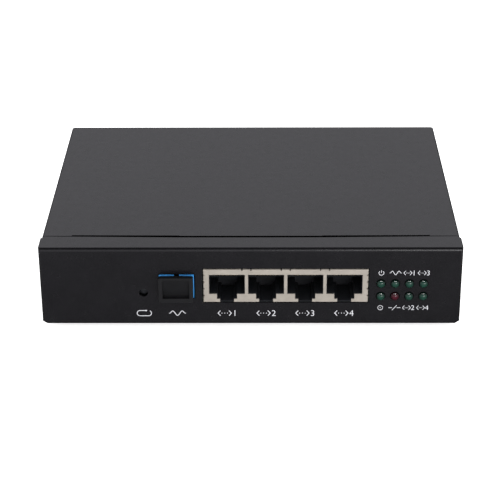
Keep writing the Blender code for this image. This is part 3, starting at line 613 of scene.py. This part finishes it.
def make_chassis():
    """Base, front panel with its lip and side returns, and rear wall: one bent sheet."""
    panel = rounded(prism(panel_outline(0), FRONT, LIP_Y, "Y"), front_radius, 6)
    steps = [("cut", prism(panel_outline(SHEET), FRONT + SHEET, LIP_Y + 1, "Y"))]
    steps.append(("join", brick((-BASE_HALF, LIP_Y - 2, BASE), (BASE_HALF, REAR, FLOOR))))
    wall_top = TOP - SHEET - GAP
    steps.append(("join", brick((-BASE_HALF, REAR - SHEET, BASE), (BASE_HALF, REAR, wall_top))))
    half_flange = BASE_HALF - REAR_FLANGE_INSET
    flange_low = (-half_flange, REAR - REAR_FLANGE_D, wall_top - SHEET)
    steps.append(("join", brick(flange_low, (half_flange, REAR, wall_top))))
    for side in SIDES:
        outer = side * BASE_HALF
        inner = outer - side * SHEET
        flange_low = (min(inner, outer), LIP_Y + SIDE_FLANGE_SETBACK, BASE)
        steps.append(("join", brick(flange_low, (max(inner, outer), REAR, BASE + SIDE_FLANGE_H))))
        steps.append(("cut", lip_corner(side)))
    reach = HALF_W - LIP_END
    outline = seam_line(LIP_Y - SEAM_EASE, reach) + [(reach, LIP_Y + 1), (-reach, LIP_Y + 1)]
    steps.append(("cut", prism(outline, TOP - SHEET - 0.1, TOP + 1, "Z")))
    for name in SIDE_SCREWS:
        screw = middle(name)
        steps.append(("join", screw_ear(1 if screw.x > 0 else -1, screw.y)))
    steps += [("cut", shape) for shape in front_windows()]
    inlet_outline = window("power_inlet", GAP, INLET_WINDOW_CORNER)
    steps.append(("cut", prism(inlet_outline, REAR - 2, REAR + 1, "Y")))
    steps += screw_holes(EAR_HOLE_R)
    piece("base_and_front", shaped(panel, *steps, ease=SHEET_EASE), COAT, replaces=["chassis"])


def screw_holes(radius):
    """Holes for the side screws, each through both sides."""
    places = [middle(name) for name in SIDE_SCREWS[:2]]
    return [("cut", rod((screw.y, screw.z), radius, -THROUGH, THROUGH, "X")) for screw in places]


def cover_outline():
    """The cover's section in X and Z: the outside from right to left, then the inside back."""
    half = COVER_HALF
    foot = BASE + COVER_FOOT_GAP
    inner_r = COVER_BEND - SHEET
    bend_z = TOP - COVER_BEND
    bend_x = half - COVER_BEND
    outer = [(half, foot)] + arc((bend_x, bend_z), COVER_BEND, 0, 90, 8)
    outer += arc((-bend_x, bend_z), COVER_BEND, 90, 180, 8) + [(-half, foot)]
    inner = [(-half + SHEET, foot)] + arc((-bend_x, bend_z), inner_r, 180, 90, 5)
    inner += arc((bend_x, bend_z), inner_r, 90, 0, 5) + [(half - SHEET, foot)]
    return outer + inner


def make_cover():
    """Top and sides in one sheet, notched back from the lip between its two ends."""
    half_notch = COVER_HALF - NOTCH_END
    outline = [(-half_notch, LIP_Y - 2)] + seam_line(COVER_Y + SEAM_EASE, half_notch)
    outline.append((half_notch, LIP_Y - 2))
    steps = [("cut", prism(outline, TOP - SHEET - 0.5, TOP + 1, "Z"))]
    tongue_top = TOP - SHEET - GAP
    for x in TONGUE_XS:
        joggle_low = (x - JOGGLE_HALF_W, COVER_Y + JOGGLE_YS[0], tongue_top - SHEET + 0.2)
        joggle_high = (x + JOGGLE_HALF_W, COVER_Y + JOGGLE_YS[1], TOP - SHEET / 2)
        steps.append(("join", brick(joggle_low, joggle_high)))
        reach_low = (x - TONGUE_HALF_W, COVER_Y - TONGUE_REACH, tongue_top - SHEET)
        reach_high = (x + TONGUE_HALF_W, COVER_Y + TONGUE_OVERLAP, tongue_top)
        steps.append(("join", brick(reach_low, reach_high)))
    for i in range(VENT_COUNT):
        y = VENT_MIDDLE_Y + (i - (VENT_COUNT - 1) / 2) * VENT_PITCH
        slot = round_rectangle((y, VENT_Z), VENT_W, VENT_H, VENT_CORNER, 6)
        steps.append(("cut", prism(slot, -THROUGH, THROUGH, "X")))
    steps += screw_holes(COVER_HOLE_R)
    shell = shaped(prism(cover_outline(), LIP_Y + GAP, REAR, "Y"), *steps, ease=SHEET_EASE)
    piece("cover_shell", shell, COAT, replaces=["top_cover"])


def screw_mesh(head_r, head_h, shank_r, length):
    """A pan-head screw with a domed top and a cross recess. Its head stands on Z = 0."""
    rim_h = 0.45 * head_h
    dome = []
    for degrees in range(0, 90, 10):
        a = math.radians(degrees)
        dome.append((head_r * math.cos(a), rim_h + (head_h - rim_h) * math.sin(a)))
    profile = [(0, -length), (shank_r - 0.5, -length), (shank_r, 0.6 - length), (shank_r, 0)]
    profile += [(head_r - 0.1, 0), (head_r, 0.1)] + dome + [(0, head_h)]
    arm = head_r * 0.55
    floor = arm * 0.45
    recess = []
    for turn in (0, 90):
        outline = [(-arm, head_h + 0.1), (-floor, head_h - 0.75), (floor, head_h - 0.75), (arm, head_h + 0.1)]
        slot = prism(outline, -0.28, 0.28, "Y")
        recess.append(("cut", moved(slot, turn=Matrix.Rotation(math.radians(turn), 4, "Z"))))
    return shaped(turned(profile), *recess, ease=0.05)


def make_side_screws():
    for name in SIDE_SCREWS:
        low, high = box(name)
        side = 1 if high.x > 0 else -1
        mesh = screw_mesh(SCREW_HEAD_R, SCREW_HEAD_H, SCREW_SHANK_R, SCREW_LENGTH)
        seat = max(abs(low.x), abs(high.x)) - SCREW_HEAD_H
        spin = Matrix.Rotation(math.radians(SCREW_TURN * side), 4, "X")
        mesh.transform(spin @ Matrix.Rotation(side * math.pi / 2, 4, "Y"))
        centre = middle(name)
        mesh.transform(Matrix.Translation(Vector((side * seat, centre.y, centre.z)) * MM))
        piece(name + "_pan_head", mesh, SCREW, replaces=[name])


def make_feet():
    for name in FEET:
        centre = middle(name)
        top = box(name)[1].z
        profile = [(0, 0), (FOOT_LOW_R, 0)] + arc((FOOT_LOW_R, 0.5), 0.5, -90, -10, 5)
        profile += [(FOOT_R, top - 0.2), (FOOT_R - 0.1, top), (0, top)]
        piece(name + "_pad", moved(turned(profile), (centre.x, centre.y, 0)), RUBBER, replaces=[name])


# Network jack

JACK_LOW = box("jack_shield")[0].z
# A port's mouth: its wide top, the step for the latch and the slot below it
PORT_W = 12.8
LATCH_W = 7.2
SLOT_W = 5.0
PORT_TOP = JACK_LOW + 11.0
LATCH_STEP = JACK_LOW + 3.35
SLOT_LEDGE = JACK_LOW + 1.35
PORT_DEPTH = 12.5
SHIELD_WALL = 0.3
SHIELD_CORNER = 0.3
# Slits on both sides of each grounding finger, in the roof over the webs and in the side walls
SLIT_OFFSET = 1.6
SLIT_W = 0.4
SLIT_LENGTH = 6
SIDE_SLIT_ZS = [JACK_LOW + step * 2.7 for step in (1, 2, 3, 4)]
SIDE_SLIT_H = 0.5
SIDE_SLIT_D = 0.45
SPRING_COUNT = 8
SPRING_PITCH = 1.02
SPRING_W = 0.4
SPRING_T = 0.22
RIB_W = 0.4
RIB_START = 9.5
RIB_ZS = (JACK_LOW + 7.4, JACK_LOW + 10.9)
CARRIER_W = 11.4
CARRIER_T = 0.7
CARRIER_CORNER = 0.3
# The moulding's cavity is this much narrower than the mouth in the metal, and this far over the floor.
CAVITY_INSET = 0.15
CAVITY_FLOOR = 0.4


def mouth(centre_x, shrink, floor):
    """A port's mouth in X and Z: a wide top, a latch step and a narrow slot that ends at floor."""
    wide = PORT_W / 2 - shrink
    latch = LATCH_W / 2 - shrink
    slot = SLOT_W / 2 - shrink
    top = PORT_TOP - shrink
    step = LATCH_STEP + shrink
    ledge = SLOT_LEDGE + shrink
    half = [(wide, top), (wide, step), (latch, step), (latch, ledge), (slot, ledge), (slot, floor)]
    right = [(centre_x + x, z) for x, z in half]
    left = [(centre_x - x, z) for x, z in reversed(half)]
    return right + left


def port_xs():
    return [middle(name).x for name in PORTS]


def make_jack_shield():
    low, high = box("jack_shield")
    outside = brick(low, high)
    bevel_where(outside, lambda p: p.y < low.y + 0.01, SHIELD_CORNER, 4)
    inside_low = (low.x + SHIELD_WALL, low.y + SHIELD_WALL, low.z - 1)
    inside_high = (high.x - SHIELD_WALL, high.y - SHIELD_WALL, high.z - SHIELD_WALL)
    steps = [("cut", brick(inside_low, inside_high))]
    for x in port_xs():
        steps.append(("cut", prism(mouth(x, 0, low.z - 1), low.y - 1, low.y + 1, "Y")))
    slit_end = low.y + SLIT_LENGTH
    for left, right in zip(port_xs(), port_xs()[1:]):
        for side in SIDES:
            slit = (left + right) / 2 + side * SLIT_OFFSET
            slit_low = (slit - SLIT_W / 2, low.y - 1, high.z - 0.5)
            steps.append(("cut", brick(slit_low, (slit + SLIT_W / 2, slit_end, high.z + 1))))
    for z in SIDE_SLIT_ZS:
        for x in (low.x, high.x):
            slit_low = (x - SIDE_SLIT_D, low.y - 1, z - SIDE_SLIT_H / 2)
            steps.append(("cut", brick(slit_low, (x + SIDE_SLIT_D, slit_end, z + SIDE_SLIT_H / 2))))
    piece("jack_cage", shaped(outside, *steps, ease=0.04, segments=1), SHIELD, replaces=["jack_shield"])


def make_jack_moulding():
    """The black block with a cavity for each port, and ribs between the springs at its back."""
    low, high = box("jack_housing")
    steps = []
    back = low.y + PORT_DEPTH
    for x in port_xs():
        cavity = mouth(x, CAVITY_INSET, JACK_LOW + CAVITY_FLOOR)
        steps.append(("cut", prism(cavity, low.y - 1, back, "Y")))
        for i in range(SPRING_COUNT + 1):
            rib_x = x + (i - SPRING_COUNT / 2) * SPRING_PITCH
            rib_low = (rib_x - RIB_W / 2, low.y + RIB_START, RIB_ZS[0])
            steps.append(("join", brick(rib_low, (rib_x + RIB_W / 2, back + 0.1, RIB_ZS[1]))))
    piece("jack_body", shaped(brick(low, high), *steps, ease=0.1), BLACK, replaces=["jack_housing"])


def make_jack_springs():
    """Each port's springs run along its ceiling, turn at the front and slope down to the back."""
    for name in PORTS:
        low, high = box(name)
        centre = middle(name).x
        outline = round_rectangle((centre, (low.y + high.y) / 2), CARRIER_W, high.y - low.y, CARRIER_CORNER)
        strip = prism(outline, high.z - CARRIER_T, high.z, "Z")
        piece(name + "_carrier", strip, BLACK, replaces=[name])
        springs = []
        bend = arc((low.y + 1.2, high.z - 1.05), 0.4, 90, 245, 8)
        tip = (low.y + 9.4, low.z + 0.35)
        path = [(high.y - 0.3, high.z - 0.62)] + bend + [(tip[0] - 0.5, tip[1] + 0.02), tip]
        for i in range(SPRING_COUNT):
            x = centre + (i - (SPRING_COUNT - 1) / 2) * SPRING_PITCH
            springs.append(prism(thick_line(path, SPRING_T), x - SPRING_W / 2, x + SPRING_W / 2, "X"))
        piece(name + "_springs", joined(*springs), GOLD)


# Optical port

SOCKET_W = 9.1
SOCKET_H = 7.4
SOCKET_D = 11
KEY_W = 1.95
KEY_D = 6
FERRULE_BORE_R = 1.75
# The socket stands on two legs, and a latch pocket is cut in each of its sides.
LEG_YS = (7, 17)
LEG_HALF_W = 4
LEG_HALF_D = 1.5
POCKET_YS = (9, 14)
POCKET_HALF_H = 3
POCKET_D = 0.6
# Dust plug: its flange with a sloping thumb pocket, and its hollow neck
FLANGE_T = 2.0
FLANGE_DROP = 0.2
FLANGE_CORNER = 0.6
THUMB_HALF_W = 4.8
THUMB_ZS = (-3.4, 3.9)
THUMB_DS = (1.6, 0.05)
NECK_W = 8.5
NECK_H = 6.9
NECK_CORNER = 0.5
NECK_NOSE = 0.4
HOLLOW_R = 2.5
HOLLOW_D = 6.5


def make_receptacle():
    low, high = box("optical_receptacle")
    centre_x = (low.x + high.x) / 2
    centre_z = high.z - OPTIC_HEIGHT / 2
    body_low = high.z - OPTIC_HEIGHT
    body = brick((low.x, low.y, body_low), (high.x - 0.15, high.y, high.z))
    bevel_where(body, lambda p: p.y < low.y + 0.01, 0.25, 3)
    section = round_rectangle((centre_x, centre_z), SOCKET_W, SOCKET_H, 0.3)
    socket = prism(section, low.y - 1, low.y + SOCKET_D, "Y")
    key_low = (centre_x - KEY_W / 2, low.y - 1, centre_z)
    key = brick(key_low, (centre_x + KEY_W / 2, low.y + KEY_D, high.z + 1))
    bore = rod((centre_x, centre_z), FERRULE_BORE_R, low.y + SOCKET_D - 1, high.y + 1, "Y")
    steps = []
    for leg_y in LEG_YS:
        y = low.y + leg_y
        leg_low = (centre_x - LEG_HALF_W, y - LEG_HALF_D, low.z)
        steps.append(("join", brick(leg_low, (centre_x + LEG_HALF_W, y + LEG_HALF_D, body_low + 0.5))))
    steps += [("cut", socket), ("cut", key), ("cut", bore)]
    for side in SIDES:
        x = centre_x + side * (high.x - low.x) / 2
        pocket_low = (x - POCKET_D, low.y + POCKET_YS[0], centre_z - POCKET_HALF_H)
        pocket_high = (x + POCKET_D, low.y + POCKET_YS[1], centre_z + POCKET_HALF_H)
        steps.append(("cut", brick(pocket_low, pocket_high)))
    piece("fibre_socket", shaped(body, *steps, ease=0.1), BLUE, replaces=["optical_receptacle"])


def make_dust_plug():
    low, high = box("dust_plug")
    x, _, z = middle("dust_plug")
    size = high - low
    outline = round_rectangle((x, z - FLANGE_DROP / 2), size.x, size.z - FLANGE_DROP, FLANGE_CORNER)
    flange = prism(outline, low.y, low.y + FLANGE_T, "Y")
    thumb_low = z + THUMB_ZS[0]
    thumb_high = z + THUMB_ZS[1]
    slope = [(low.y - 1, thumb_high), (low.y + THUMB_DS[1], thumb_high)]
    slope += [(low.y + THUMB_DS[0], thumb_low), (low.y - 1, thumb_low)]
    pocket = prism(slope, x - THUMB_HALF_W, x + THUMB_HALF_W, "X")
    section = round_rectangle((x, z), NECK_W, NECK_H, NECK_CORNER)
    neck = prism(section, low.y + FLANGE_T - 0.3, high.y, "Y")
    bevel_where(neck, lambda p: p.y > high.y - 0.01, NECK_NOSE, 3)
    hollow = rod((x, z), HOLLOW_R, high.y - HOLLOW_D, high.y + 1, "Y")
    mesh = shaped(flange, ("join", neck), ("cut", pocket), ("cut", hollow), ease=0.18, segments=3)
    piece("dust_cap", mesh, PLUG, body="plug", replaces=["dust_plug"])


# Lamps

LAMP_R = 1.5
# The flange is this far behind the front of the lamp's box. The nose ends a little short of that front.
LAMP_FLANGE_SETBACK = 5.0
LAMP_LENGTH = 4.75
LAMP_NOSE_R = 2.0
LAMP_FLANGE_T = 1.0
LEAD_OFFSET = 0.97
LEAD_T = 0.5
LEAD_BEND = 0.6


def make_lamps():
    """Each lamp: a tube with a rounded nose and a flange, and two leads that turn down behind it."""
    slant = math.degrees(math.acos(LAMP_R / LAMP_NOSE_R))
    nose = arc((0, LAMP_LENGTH - LAMP_NOSE_R), LAMP_NOSE_R, slant, 90, 10)
    profile = [(0, -LAMP_FLANGE_T), (LAMP_FLANGE_R - 0.15, -LAMP_FLANGE_T)]
    profile += [(LAMP_FLANGE_R, 0.15 - LAMP_FLANGE_T), (LAMP_FLANGE_R, -0.1), (LAMP_FLANGE_R - 0.1, 0)]
    profile += [(LAMP_R, 0)] + nose[:-1] + [(0, LAMP_LENGTH)]
    turn = Matrix.Rotation(math.pi / 2, 4, "X")
    for name in LAMPS:
        low, high = box(name)
        x, z = lamp_place(name)
        flange_y = low.y + LAMP_FLANGE_SETBACK
        lens = moved(turned(profile, 40), (x, flange_y, z), turn)
        resin = RED_RESIN if name == RED_LAMP else GREEN_RESIN
        piece(name + "_lens", lens, resin, replaces=[name])
        leads = []
        bend_y = high.y - LEAD_T / 2 - LEAD_BEND
        for side in SIDES:
            lead_x = x + side * LEAD_OFFSET
            path = [(flange_y + LAMP_FLANGE_T - 0.1, z), (bend_y, z)]
            path += arc((bend_y, z - LEAD_BEND), LEAD_BEND, 90, 0, 5) + [(high.y - LEAD_T / 2, low.z)]
            leads.append(prism(thick_line(path, LEAD_T), lead_x - LEAD_T / 2, lead_x + LEAD_T / 2, "X"))
        piece(name + "_leads", joined(*leads), STEEL)


# Reset switch and power inlet

RESET_R = 1.5
RESET_EDGE = 0.4
INLET_EDGE = 0.5
INLET_BORE_R = 3.15
INLET_BORE_D = 10
PIN_HOLE_R = 1.1


def make_reset_button():
    low, high = box("reset_button")
    centre = middle("reset_button")
    length = high.y - low.y
    profile = [(0, 0), (RESET_R, 0)] + arc((RESET_R - RESET_EDGE, length - RESET_EDGE), RESET_EDGE, 0, 90, 5)
    profile.append((0, length))
    turn = Matrix.Rotation(math.pi / 2, 4, "X")
    cap = moved(turned(profile), (centre.x, high.y, centre.z), turn)
    piece("reset_cap", cap, BLACK, body="button", replaces=["reset_button"])


def make_power_inlet():
    low, high = box("power_inlet")
    centre = middle("power_pin")
    axis = (centre.x, centre.z)
    body = brick(low, high)
    bevel_where(body, lambda p: p.y > high.y - 0.01, INLET_EDGE, 4)
    bore = rod(axis, INLET_BORE_R, high.y - INLET_BORE_D, high.y + 1, "Y", 64)
    hole = rod(axis, PIN_HOLE_R, low.y - 1, high.y - INLET_BORE_D + 1, "Y")
    mesh = shaped(body, ("cut", bore), ("cut", hole), ease=0.15)
    piece("power_socket", mesh, BLACK, replaces=["power_inlet"])


# Printed marks

# The ink lies between these two distances in front of the panel.
INK_LOW = 0.008
INK_HIGH = 0.04
# Marks under the ports, and their smaller copies over and under the lamps
PORT_MARK_Z = BASE + 4.5
PORT_MARK_H = 2.4
PORT_LINE = 0.25
LAMP_MARK_ZS = (BASE + 20.7, BASE + 6.7)
LAMP_MARK_H = 1.95
LAMP_LINE = 0.19
# A sign is a little lower than a numeral. A numeral stands 0.7 of its font's size high.
SIGN_SHARE = 0.85
NUMERAL_SHARE = 0.7
NUMERAL_THINNING = 0.03
# Widths of the signs, and how far a port's sign and numeral lie to the left and right of its axis
LOOP_W = 5.4
WAVE_W = 6.1
PORT_SIGN_W = 4.8
PORT_SIGN_X = -0.9
PORT_NUMERAL_X = 2.75
LAMP_WAVE_W = 4.3
LAMP_SIGN_W = 2.9
LAMP_SIGN_X = -0.7
LAMP_NUMERAL_X = 1.5


def printed(name, outlines):
    """White marks on the front panel, a few hundredths of a millimetre thick."""
    shapes = [prism(outline, FRONT - INK_HIGH, FRONT - INK_LOW, "Y") for outline in outlines]
    piece(name, joined(*shapes), PRINT)


def digit(number, x, z, height):
    """A plain numeral centred on a point, from Blender's own font."""
    text = bpy.data.curves.new("numeral", "FONT")
    text.body = str(number)
    text.size = height * MM / NUMERAL_SHARE
    text.extrude = (INK_HIGH - INK_LOW) / 2 * MM
    text.offset = -NUMERAL_THINNING * MM
    text.align_x = "CENTER"
    helper = bpy.data.objects.new("numeral", text)
    bpy.context.scene.collection.objects.link(helper)
    graph = bpy.context.evaluated_depsgraph_get()
    mesh = bpy.data.meshes.new_from_object(helper.evaluated_get(graph))
    bpy.data.objects.remove(helper)
    mesh.transform(Matrix.Rotation(math.pi / 2, 4, "X"))
    low = min(v.co.z for v in mesh.vertices)
    high = max(v.co.z for v in mesh.vertices)
    lift = z * MM - (low + high) / 2
    mesh.transform(Matrix.Translation((x * MM, (FRONT - (INK_LOW + INK_HIGH) / 2) * MM, lift)))
    return mesh


def dot(centre, radius):
    return arc(centre, radius, 0, 330, 11)


def port_sign(x, z, height, width, line):
    """Two angle brackets with dots between them."""
    outlines = []
    bracket = height * 0.42
    for side in SIDES:
        tip = x + side * width / 2
        inner = tip - side * bracket
        outlines.append(thick_line([(inner, z + height / 2), (tip, z), (inner, z - height / 2)], line))
    reach = width / 2 - bracket - line * 0.6
    for i in (-1, 0, 1):
        outlines.append(dot((x + i * reach * 0.72, z), line * 0.62))
    return outlines


def wave_sign(x, z, height, width, line):
    """One and a half waves of light between two dots."""
    run = width - 4 * line
    steps = 36
    wave = []
    for i in range(steps + 1):
        t = i / steps
        wave.append((x - run / 2 + run * t, z + (height - line) / 2 * math.sin(3 * math.pi * t)))
    radius = line * 0.7
    return [thick_line(wave, line)] + [dot((x + side * (width / 2 - radius), z), radius) for side in SIDES]


def loop_sign(x, z, height, width, line):
    """An arrow that comes back on itself round a long loop."""
    radius = (height - line) / 2
    reach = width / 2 - radius - line / 2
    head_x = x + reach * 0.35
    head_z = z + radius
    path = arc((x + reach, z), radius, 60, -90, 12) + arc((x - reach, z), radius, 270, 90, 14)
    path.append((head_x, head_z))
    barb = line * 1.5
    head = [(head_x, head_z + barb), (head_x + line * 2.4, head_z), (head_x, head_z - barb)]
    return [thick_line(path, line), head]


def power_sign(x, z, height, line):
    """An open ring with a bar in its gap."""
    radius = (height - line) / 2
    ring = arc((x, z), radius, 130, 410, 24)
    bar = [(x, z + height / 2 + line * 0.3), (x, z + height * 0.02)]
    return [thick_line(ring, line), thick_line(bar, line)]


def ring_sign(x, z, height, line):
    """A ring with a dot in it."""
    ring = thick_line(arc((x, z), (height - line) / 2, 0, 350, 30), line)
    return [ring, dot((x, z), line * 0.9)]


def struck_wave_sign(x, z, height, width, line):
    """A slanted bar between two dashes: no light."""
    lean = height * 0.42
    bar = [(x - lean, z - height / 2), (x + lean, z + height / 2)]
    left = thick_line([(x - width / 2, z), (x - width * 0.2, z)], line)
    right = thick_line([(x + width * 0.2, z), (x + width / 2, z)], line)
    return [thick_line(bar, line), left, right]


def make_print():
    sign_height = PORT_MARK_H * SIGN_SHARE
    reset_x = middle("reset_button").x
    printed("print_reset", loop_sign(reset_x, PORT_MARK_Z, PORT_MARK_H, LOOP_W, PORT_LINE))
    optic_x = middle("optical_receptacle").x
    printed("print_optical", wave_sign(optic_x, PORT_MARK_Z, sign_height, WAVE_W, PORT_LINE))
    for number, x in enumerate(port_xs(), 1):
        sign = port_sign(x + PORT_SIGN_X, PORT_MARK_Z, sign_height, PORT_SIGN_W, PORT_LINE)
        printed(f"print_port_{number}", sign)
        numeral = digit(number, x + PORT_NUMERAL_X, PORT_MARK_Z, PORT_MARK_H)
        piece(f"print_port_number_{number}", numeral, PRINT)
    lamp_xs = [lamp_place(name)[0] for name in LAMPS[:4]]
    upper, lower = LAMP_MARK_ZS
    sign_height = LAMP_MARK_H * SIGN_SHARE
    printed("print_power", power_sign(lamp_xs[0], upper, LAMP_MARK_H, LAMP_LINE))
    printed("print_light", wave_sign(lamp_xs[1], upper, sign_height, LAMP_WAVE_W, LAMP_LINE))
    printed("print_spare", ring_sign(lamp_xs[0], lower, LAMP_MARK_H, LAMP_LINE))
    struck = struck_wave_sign(lamp_xs[1], lower, LAMP_MARK_H, LAMP_WAVE_W, LAMP_LINE)
    printed("print_no_light", struck)
    for number in (1, 2, 3, 4):
        x = lamp_xs[2 if number < 3 else 3]
        z = upper if number % 2 else lower
        sign = port_sign(x + LAMP_SIGN_X, z, sign_height, LAMP_SIGN_W, LAMP_LINE)
        printed(f"print_lamp_{number}", sign)
        piece(f"print_lamp_number_{number}", digit(number, x + LAMP_NUMERAL_X, z, LAMP_MARK_H), PRINT)


# CAD nodes that keep their shape and take a finish


def dress_nodes():
    finishes = {
        "alignment_sleeve": CERAMIC,
        "optical_body": STEEL,
        "laser_can": GOLD,
        "receiver_can": STEEL,
        "lamp_holder": BLACK,
        "reset_switch_body": BLACK,
        "power_pin": STEEL,
        "main_board": BOARD,
        "processor": EPOXY,
        "thermal_pad": PAD,
        "heat_sink": ALUMINIUM,
        "crystal": STEEL,
    }
    for name in ("memory_chip", "flash_chip", "optical_driver_chip", "power_regulator"):
        finishes[name] = EPOXY
    for number in (1, 2):
        finishes[f"network_transformer_{number}"] = EPOXY
        finishes[f"power_inductor_{number}"] = EPOXY
        finishes[f"capacitor_{number}"] = ALUMINIUM
    for number in (1, 2, 3, 4):
        finishes[f"standoff_{number}"] = BRASS
        finishes[f"board_screw_{number}"] = STEEL
    for name, finish in finishes.items():
        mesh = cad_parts[name].data
        mesh.materials.clear()
        mesh.materials.append(finish)


# Floor, light and camera

# The camera's place is taken from the middle of the front panel's foot, in millimetres.
LENS = 116.9
SENSOR = 36
CAMERA_RIGHT = 5.27
CAMERA_AHEAD = 512.45
CAMERA_UP = 285.26
CAMERA_YAW = -0.606
CAMERA_DOWN = 26.4915
CAMERA_ROLL = -0.313


def make_stage():
    """A white floor with a glow of its own, which hides most of the shadow. Gloss does not see it."""
    bpy.ops.mesh.primitive_plane_add(size=6)
    floor = bpy.context.object
    floor.name = "floor"
    paper = bpy.data.materials.new("paper")
    paper.use_nodes = True
    shader = paper.node_tree.nodes["Principled BSDF"]
    shader.inputs["Base Color"].default_value = (0.93, 0.93, 0.93, 1)
    shader.inputs["Roughness"].default_value = 0.9
    shader.inputs["Emission Color"].default_value = (1, 1, 1, 1)
    shader.inputs["Emission Strength"].default_value = 0.75
    floor.data.materials.append(paper)
    floor.visible_glossy = False


def make_world():
    """A bright tent with a dark roof and a dark table. Gloss picks them out, and all else sees white."""
    world = bpy.data.worlds.new("studio")
    bpy.context.scene.world = world
    world.use_nodes = True
    tree = world.node_tree
    place = tree.nodes.new("ShaderNodeTexCoord")
    roof = tree.nodes.new("ShaderNodeVectorMath")
    roof.operation = "DOT_PRODUCT"
    lean = math.radians(ROOF_LEAN)
    roof.inputs[1].default_value = (0, -math.sin(lean), math.cos(lean))
    tree.links.new(place.outputs["Generated"], roof.inputs[0])
    spread = tree.nodes.new("ShaderNodeMapRange")
    spread.inputs["From Min"].default_value = -1
    tree.links.new(roof.outputs["Value"], spread.inputs["Value"])
    ramp = tree.nodes.new("ShaderNodeValToRGB")
    stops = ramp.color_ramp.elements
    stops.remove(stops[1])
    for i, (angle, shade) in enumerate(TENT):
        stop = stops.new((1 + math.cos(math.radians(angle))) / 2) if i else stops[0]
        stop.position = (1 + math.cos(math.radians(angle))) / 2
        stop.color = (shade * 0.98, shade * 0.975, shade * 1.03, 1)
    tree.links.new(spread.outputs["Result"], ramp.inputs["Fac"])
    rays = tree.nodes.new("ShaderNodeLightPath")
    choice = tree.nodes.new("ShaderNodeMix")
    choice.data_type = "RGBA"
    choice.inputs["A"].default_value = (1.4, 1.4, 1.4, 1)
    tree.links.new(rays.outputs["Is Glossy Ray"], choice.inputs["Factor"])
    tree.links.new(ramp.outputs["Color"], choice.inputs["B"])
    tree.links.new(choice.outputs["Result"], tree.nodes["Background"].inputs["Color"])


def area_light(name, azimuth, elevation, distance, width, height, power):
    """A soft box that faces the object from a direction. Azimuth 0 is in front and 90 on the right."""
    light = bpy.data.lights.new(name, "AREA")
    light.shape = "RECTANGLE"
    light.size = width
    light.size_y = height
    light.energy = power
    obj = bpy.data.objects.new(name, light)
    bpy.context.scene.collection.objects.link(obj)
    a = math.radians(azimuth)
    e = math.radians(elevation)
    obj.location = Vector((math.sin(a) * math.cos(e), -math.cos(a) * math.cos(e), math.sin(e))) * distance
    obj.rotation_euler = (-obj.location).to_track_quat("-Z", "Y").to_euler()
    return obj


def make_camera():
    """In front of the panel, over half a metre off, 26 degrees down and a little to the right."""
    data = bpy.data.cameras.new("camera")
    data.lens = LENS
    data.sensor_width = SENSOR
    camera = bpy.data.objects.new("camera", data)
    bpy.context.scene.collection.objects.link(camera)
    yaw = math.radians(CAMERA_YAW)
    down = math.radians(CAMERA_DOWN)
    roll = math.radians(CAMERA_ROLL)
    ahead = Vector((math.sin(yaw) * math.cos(down), math.cos(yaw) * math.cos(down), -math.sin(down)))
    right = Vector((math.cos(yaw), -math.sin(yaw), 0))
    up = right.cross(ahead)
    level = Matrix((right, up, -ahead)).transposed()
    tilt = Matrix.Rotation(-roll, 3, ahead)
    camera.matrix_world = (tilt @ level).to_4x4()
    camera.location = Vector((CAMERA_RIGHT, FRONT - CAMERA_AHEAD, BASE + CAMERA_UP)) * MM
    bpy.context.scene.camera = camera


make_chassis()
make_cover()
make_side_screws()
make_feet()
make_jack_shield()
make_jack_moulding()
make_jack_springs()
make_receptacle()
make_dust_plug()
make_lamps()
make_reset_button()
make_power_inlet()
make_print()
dress_nodes()
make_stage()
make_world()
area_light("front_box", 22, 6, 1.5, 0.9, 0.35, 6)
# Two small boxes shine on the indicator lamps alone and put the points of light on them.
lenses = bpy.data.collections.new("lenses")
for name in LAMPS:
    lenses.objects.link(bpy.data.objects[name + "_lens"])
area_light("right_spark", 25, 47, 1.2, 0.2, 0.2, 7).light_linking.receiver_collection = lenses
area_light("left_spark", -17, 49, 1.2, 0.2, 0.2, 4).light_linking.receiver_collection = lenses
make_camera()
bpy.context.scene.view_settings.view_transform = "Standard"
